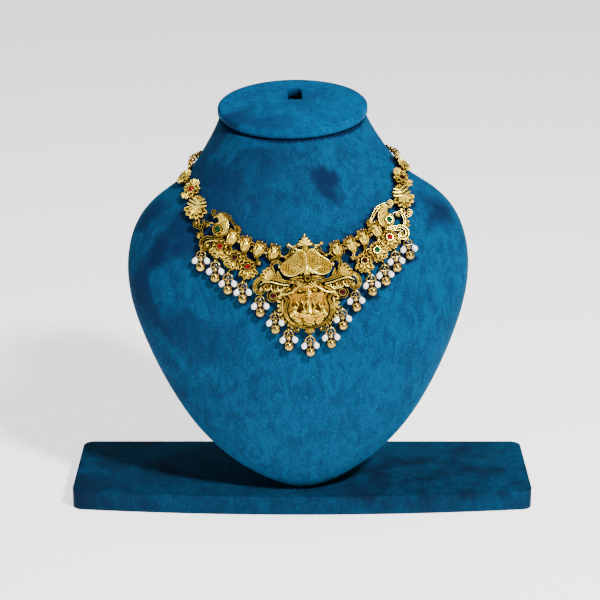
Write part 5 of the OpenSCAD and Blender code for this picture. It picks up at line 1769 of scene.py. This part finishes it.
@dataclass
class DropShape:
    """An arch with two pearls, a bead and a ball, in millimetres from the middle of the ball."""

    ball: float = 5.2
    bead: float = 2.5
    pearl: float = 3.5
    arch_width: float = 4.9
    arch_wire: float = 0.85
    arch_top: float = 8.8
    foot_angle: float = 10.0
    pin: float = 0.6
    gap: float = 0.3
    pearl_out: float = 0.85
    pearl_down: float = 2.45
    rim_from: float = 0.47
    rim_sink: float = 0.04
    pearl_form: Point = (0.95, 1.08, 0.95)
    pearl_tip: Point = (0.78, 1.04, 0.78)
    eye_radius: float = 0.92
    eye_wire: float = 0.54
    middle: int = 7
    places: tuple[Point, ...] = (
        (55.7, 14.1), (48.4, 8.9), (42.0, 2.8), (34.4, -1.6), (25.5, -8.7), (17.9, -17.4), (11.2, -26.4),
        (0.0, -30.0),
    )

    def place(self, surface: BustSurface, number: int, side: int) -> Matrix:
        """Frame of one drop on the chest."""
        return surface.chest(self.places[number], side, self.ball / 2 + self.gap)

    def foot(self) -> tuple[float, float]:
        """End of the arch on the right side."""
        radius, turn = self.arch_width / 2, math.radians(self.foot_angle)
        return radius * math.cos(turn), self.arch_top - radius - radius * math.sin(turn)

    def _ball(self, size: float, height: float, seam: float) -> bpy.types.Object:
        """A hollow ball with a pressed seam round its waist and a rim round its hole.

        Args:
            size: Its diameter.
            height: Height of its middle.
            seam: Width of the seam.

        Returns:
            The ball.
        """
        item = started(bpy.ops.mesh.primitive_uv_sphere_add, segments=24, ring_count=16, radius=size / 2,
                       rotation=(math.pi / 2, 0, 0))
        choose(item, lambda co: abs(co.y) < 0.01)
        with editing(item):
            bpy.ops.mesh.bevel(offset=seam, segments=2, affect="EDGES")
            bpy.ops.mesh.select_less()
            waist = 1 - seam / size
            bpy.ops.transform.resize(value=(waist, 1, waist), center_override=(0, 0, 0))
        choose(item, lambda co: co.y > self.rim_from * size)
        with editing(item):
            bpy.ops.transform.translate(value=(0, -self.rim_sink * size, 0))
        return placed(item, Matrix.Translation((0, height, 0)))

    def frame_mesh(self) -> bpy.types.Object:
        """The gold of one drop: arch, pins, bead and ball.

        Returns:
            The mesh.
        """
        foot, radius, relief = self.foot(), self.arch_width / 2, Relief("drop gold")
        line = arc((0.0, self.arch_top - radius), radius, range(190, -11, -10))
        relief.add(Stroke.WIRE, line, [self.arch_wire] * len(line), -self.arch_wire / 2)
        relief.add(Stroke.WIRE, spline([(-foot[0], foot[1]), (0, foot[1] - 0.35), foot], 3),
                   [self.pin] * 7, -self.pin / 2)
        relief.wire([(-0.9, foot[1] - 0.1), (-0.5, foot[1] + 1.0), (0, foot[1] + 1.35),
                     (0.5, foot[1] + 1.0), (0.9, foot[1] - 0.1)], (0.45, 0.6, 0.45), -0.3)
        pin, end = (self.pin,) * 3, Vector(self.pearl_place())
        relief.wire([(0, foot[1]), (0, 0)], pin, -self.pin / 2)
        relief.knob(foot, 1.15, -0.2, True)
        reach = end + (end - Vector(foot)).normalized() * (self.pearl / 2 + 0.1)
        relief.wire([foot, (reach.x, reach.y)], pin, -self.pin / 2, True)
        bead_y = (self.ball / 2 + foot[1]) / 2
        parts = [relief.build(), self._ball(self.ball, 0.0, 0.05), self._ball(self.bead, bead_y, 0.08)]
        return smooth(tidied(joined(parts, "drop gold"), 1e-4), 60)

    def pearl_place(self) -> tuple[float, float]:
        """Middle of the right pearl."""
        foot = self.foot()
        return foot[0] + self.pearl_out, foot[1] - self.pearl_down

    def pearls_mesh(self) -> bpy.types.Object:
        """The two pearls of one drop, slightly pear-shaped along their pins.

        Returns:
            The mesh.
        """
        foot, middle = self.foot(), self.pearl_place()
        lean = math.atan2(middle[0] - foot[0], foot[1] - middle[1])
        parts = []
        for m in (-1, 1):
            item = started(bpy.ops.mesh.primitive_uv_sphere_add, segments=20, ring_count=12,
                           radius=self.pearl / 2, rotation=(math.pi / 2, 0, 0))
            with editing(item, True):
                bpy.ops.transform.resize(value=self.pearl_form, center_override=(0, 0, 0))
            choose(item, lambda co: co.y > 0.2 * self.pearl)
            with editing(item):
                bpy.ops.transform.resize(value=self.pearl_tip, center_override=(0, 0, 0))
            parts.append(placed(item, Matrix.Translation((m * middle[0], middle[1], 0))
                                @ Matrix.Rotation(m * lean, 4, "Z")))
        return smooth(joined(parts, "drop pearls"), 80)

    def make(self, surface: BustSurface) -> list[bpy.types.Object]:
        """Copies the gold and the pearls of a drop to all the drops of both sides.

        Args:
            surface: The bust form that they lie on.

        Returns:
            The gold of each drop.
        """
        gold, pearls, made = self.frame_mesh(), self.pearls_mesh(), []
        strands: dict[str, list[bpy.types.Object]] = {}
        for side_name, side in SIDES.items():
            for number in range(len(self.places)):
                if number == self.middle and side < 0:
                    continue
                place = self.place(surface, number, side)
                middle = number == self.middle
                node = "middle_drop" if middle else f"{side_name}_drop_{number + 1}"
                made.append(shown(placed(another(gold, f"{node}_gold"), place), Finish.BALL, "gold", node))
                strand = "middle_pearls" if middle else f"{side_name}_pearls"
                strands.setdefault(strand, []).append(placed(another(pearls, "pearl"), place))
        for strand, parts in strands.items():
            shown(joined(parts, f"{strand}_strung"), Finish.PEARL, "pearl", strand)
        bpy.data.objects.remove(gold)
        bpy.data.objects.remove(pearls)
        return made


@dataclass
class Stones:
    """The cut stones, each in the setting of its casting."""

    surface: BustSurface
    seat: float = 0.45
    girdle_low: float = 1.38
    girdle_high: float = 1.62
    height: float = 2.15
    table: float = 0.60
    point: float = 0.50

    def cut(self, size: float) -> bpy.types.Object:
        """A round stone with a table, sixteen crown facets and a pointed pavilion.

        Args:
            size: Its diameter.

        Returns:
            The stone, its underside at the seat.
        """
        item = started(bpy.ops.mesh.primitive_cylinder_add, vertices=16, radius=size / 2, depth=0.25,
                       location=(0, 0, 1.5))
        crown = (1, self.height - self.girdle_high, self.table)
        pavilion = (-1, self.seat - self.girdle_low, self.point)
        for way, depth, share in (crown, pavilion):
            choose(item, lambda co: False)
            face = max(item.data.polygons, key=lambda f: way * f.center.z + 1e-3 * f.area)
            face.select = True
            with editing(item):
                bpy.ops.mesh.select_mode(type="FACE")
                bpy.ops.mesh.extrude_region_move(TRANSFORM_OT_translate={"value": (0, 0, depth)})
                bpy.ops.transform.resize(value=(share, share, 1), center_override=(0, 0, 0))
                bpy.ops.transform.rotate(value=math.pi / 16, orient_axis="Z", center_override=(0, 0, 0))
                bpy.ops.mesh.select_mode(type="VERT")
        return item

    def make(self, castings: dict[str, Casting]) -> None:
        """Sets all the stones.

        Args:
            castings: The castings by node name, without a side.
        """
        rows = (
            ("centre_plaque", "leaf_stone", Finish.DARK, Finish.DARK),
            ("lotus_plaque", "lotus_stone", Finish.RED, Finish.DARK),
            ("peacock_plaque", "inner_stone", Finish.DARK, Finish.GREEN),
            ("peacock_plaque", "outer_stone", Finish.RED, Finish.RED),
            ("peacock_plaque", "peacock_stone", Finish.GREEN, Finish.GREEN),
            ("floral_link", "floral_stone", Finish.RED, Finish.DARK),
        )
        for casting_name, name, left, right in rows:
            casting = castings[casting_name]
            for side_name, finish in (("left", left), ("right", right)):
                self._set(f"{side_name}_{name}", casting, SIDES[side_name], name, casting.stone, finish)
        centre = castings["centre_plaque"]
        for name, finish in (("crest_stone", Finish.YELLOW), ("navel_stone", Finish.DARK)):
            self._set(name, centre, 1, name, centre.small_stone, finish)

    def _set(self, node: str, casting: Casting, side: int, name: str, size: float, finish: Finish) -> None:
        """Sets one stone in its casting.

        Args:
            node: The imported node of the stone.
            casting: Its casting.
            side: 1 for the right side and -1 for the left.
            name: Name of its place in the casting.
            size: Its diameter.
            finish: Its finish.
        """
        x, y = getattr(casting, name)
        plate_side = side
        if casting.place == (0.0, 0.0):
            x, plate_side = side * x, 1
        plate = self.surface.chest(casting.place, plate_side, casting.lift, casting.turn)
        stone = placed(self.cut(size), plate @ Matrix.Translation((x, y, 0.0)))
        stone.name = stone.data.name = f"{node}_cut"
        slots = {Finish.RED: "red_stone", Finish.DARK: "dark_stone", Finish.GREEN: "green_stone",
                 Finish.YELLOW: "yellow_stone"}
        shown(stone, finish, slots[finish], node)


@dataclass
class Findings:
    """Connecting rings, chain and clasp, dressed as packed."""

    plump: float = 0.14 * MM
    dense: int = 20000
    kept: float = 0.3

    def make(self) -> None:
        """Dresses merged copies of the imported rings, chains and clasp."""
        for node in ("connecting_rings", "left_chain", "right_chain", "clasp"):
            copy = solid_copy(node, f"{node}_wire")
            if len(copy.data.polygons) > self.dense:
                applied(copy, "DECIMATE", ratio=self.kept)
                applied(copy, "DISPLACE", strength=self.plump, mid_level=0.0)
            shown(smooth(copy, 60), Finish.WIRE, "gold_wire", node)


# Bust form, cap, prop and board

@dataclass
class VelvetStand:
    """The velvet-covered stand: bust form, neck cap, rear prop and base board."""

    bust: bpy.types.Object | None = None
    cap: bpy.types.Object | None = None
    edges: tuple[tuple[str, float], ...] = (
        ("neck_cap", 0.7 * MM), ("rear_prop", 0.8 * MM), ("base_board", 1.4 * MM),
    )
    shade_near: float = 1.8 * MM
    shade_far: float = 3.0 * MM
    slot_low: Point = (-0.0085, 0.0275, 0.195)
    slot_high: Point = (-0.0004, 0.0455, 0.24)
    slot_lip: float = 0.4 * MM
    slot_fade: float = 1.2 * MM

    def make(self) -> None:
        """Builds the covered pieces of the stand."""
        self.bust = solid_copy("bust_form", "bust_form_velvet")
        applied(self.bust, "SUBSURF", levels=2, render_levels=2)
        shown(smooth(self.bust, 60), Finish.VELVET, "velvet", "bust_form")
        for node, edge in self.edges:
            board = solid_copy(node, f"{node}_velvet")
            rounded(board, edge, 4, 50)
            finish = Finish.CAP if node == "neck_cap" else Finish.BOARD
            shown(smooth(board, 45), finish, "velvet", node)
            if node == "neck_cap":
                self.cap = board
                self._shade_slot(board)

    def _in_slot(self, item: bpy.types.Object) -> np.ndarray:
        """Says of each point of a mesh whether it lies in the cap's slot or the pocket under it.

        Args:
            item: The mesh.

        Returns:
            True or false for each point.
        """
        return np.array([
            all(low <= place <= high for low, place, high in zip(self.slot_low, v.co, self.slot_high))
            for v in item.data.vertices
        ])

    def _shade_slot(self, cap: bpy.types.Object) -> None:
        """Paints shade inside the cap's slot, so that it is dark as in a deep hole.

        Args:
            cap: The velvet-covered cap.
        """
        upper = [face for face in cap.data.polygons if face.normal.z > 0]
        up = max(upper, key=lambda face: face.area).normal
        depth = np.array([v.co.dot(up) for v in cap.data.vertices])
        inside = self._in_slot(cap)
        share = np.clip((depth[inside].max() - depth - self.slot_lip) / self.slot_fade, 0.0, 1.0) * inside
        # The attribute pressed holds painted shade here, darkest deep inside the slot.
        noted(cap, "pressed", share)

    def paint_velvet_shade(self, pieces: Iterable[bpy.types.Object]) -> None:
        """Paints shadow on the bust form's velvet under its cap, in its slot, and under and between the
        castings and drops.

        Args:
            pieces: The castings and the drops' gold that lie on it.
        """
        every = np.concatenate([points_of(self.cap), *(points_of(piece)[::3] for piece in pieces)])
        tree = kdtree.KDTree(len(every))
        for i, place in enumerate(every):
            tree.insert(place, i)
        tree.balance()
        far = np.array([tree.find(v.co)[2] for v in self.bust.data.vertices])
        share = np.clip((self.shade_far - far) / (self.shade_far - self.shade_near), 0.0, 1.0)
        # The attribute pressed holds painted shadow: near the cap, in its slot, and under and between the
        # castings and drops.
        noted(self.bust, "pressed", np.maximum(share, self._in_slot(self.bust)))


# Studio

@dataclass
class Studio:
    """Pale floor, soft lights and the camera."""

    aim: Point = (-0.0012, 0.0, 0.112)
    distance: float = 1.1
    elevation: float = 19.0
    lens: float = 117.9
    floor_size: float = 9.0
    wall: float = 1.6
    curve: float = 0.9
    air: float = 0.10
    # Name, place in metres, length of a side and power in watts
    lights: tuple[tuple[str, Point, float, float], ...] = (
        ("key", (0.65, -0.80, 1.15), 0.15, 52.0),
        ("fill", (-0.9, -1.0, 0.6), 0.35, 3.0),
        ("top", (0.0, 0.1, 1.5), 0.6, 12.0),
    )

    def make(self) -> None:
        """Sets up the floor, the lights, the world and the camera."""
        self._floor()
        for light in self.lights:
            self._light(*light)
        world = bpy.data.worlds.new("studio air")
        world.use_nodes = True
        background = world.node_tree.nodes["Background"]
        background.inputs[0].default_value = (1.0, 1.0, 1.0, 1.0)
        background.inputs[1].default_value = self.air
        bpy.context.scene.world = world
        self._camera()

    def _floor(self) -> None:
        """A round floor that runs up into a low wall all round."""
        floor = started(bpy.ops.mesh.primitive_cylinder_add, vertices=96, radius=self.floor_size / 2,
                        depth=self.wall, location=(0, 0, self.wall / 2))
        floor.name = floor.data.name = "studio_floor"
        with editing(floor, True):
            bpy.ops.mesh.flip_normals()
            bpy.ops.mesh.select_mode(type="FACE")
        for face in floor.data.polygons:
            face.select = face.center.z > 0.99 * self.wall
        with editing(floor):
            bpy.ops.mesh.delete(type="FACE")
            bpy.ops.mesh.select_mode(type="VERT")
        rounded(floor, self.curve, 10, 60)
        smooth(floor, 60)
        dressed(floor, Finish.FLOOR)

    def _light(self, name: str, place: Point, size: float, power: float) -> None:
        """A soft square light aimed at the bust form.

        Args:
            name: Its name.
            place: Its place in metres.
            size: Length of its side.
            power: Its power in watts.
        """
        bpy.ops.object.select_all(action="DESELECT")
        bpy.ops.object.light_add(type="AREA", location=place)
        light = bpy.context.object
        light.name = name
        light.data.size = size
        light.data.energy = power
        light.rotation_euler = (Vector(self.aim) - Vector(place)).to_track_quat("-Z", "Y").to_euler()

    def _camera(self) -> None:
        """The camera at the photograph's angle."""
        rise = math.radians(self.elevation)
        back = Vector((0.0, -math.cos(rise), math.sin(rise)))
        bpy.ops.object.select_all(action="DESELECT")
        bpy.ops.object.camera_add(
            location=Vector(self.aim) + self.distance * back, rotation=(math.pi / 2 - rise, 0.0, 0.0)
        )
        camera = bpy.context.object
        camera.data.lens = self.lens
        camera.data.sensor_width = 36.0
        camera.data.clip_start, camera.data.clip_end = 0.05, 50.0
        bpy.context.scene.camera = camera


def main() -> None:
    """Builds the pieces in order."""
    logging.basicConfig(level=logging.INFO, format="%(message)s")
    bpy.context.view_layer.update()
    surface = BustSurface()
    drop = DropShape()
    stand = VelvetStand()
    stand.make()
    kinds = (CentrePlaque, BudLink, LotusPlaque, PeacockPlaque, FanLink, FloralLink, ScrollLink)
    castings = {kind.node: kind(surface) for kind in kinds}
    pieces = [
        casting.make(side_name, drop)
        for casting in castings.values()
        for side_name in (("",) if casting.node == "centre_plaque" else SIDES)
    ]
    stand.paint_velvet_shade(pieces + drop.make(surface))
    Stones(surface).make(castings)
    Findings().make()
    Studio().make()


if __name__ == "__main__":
    main()
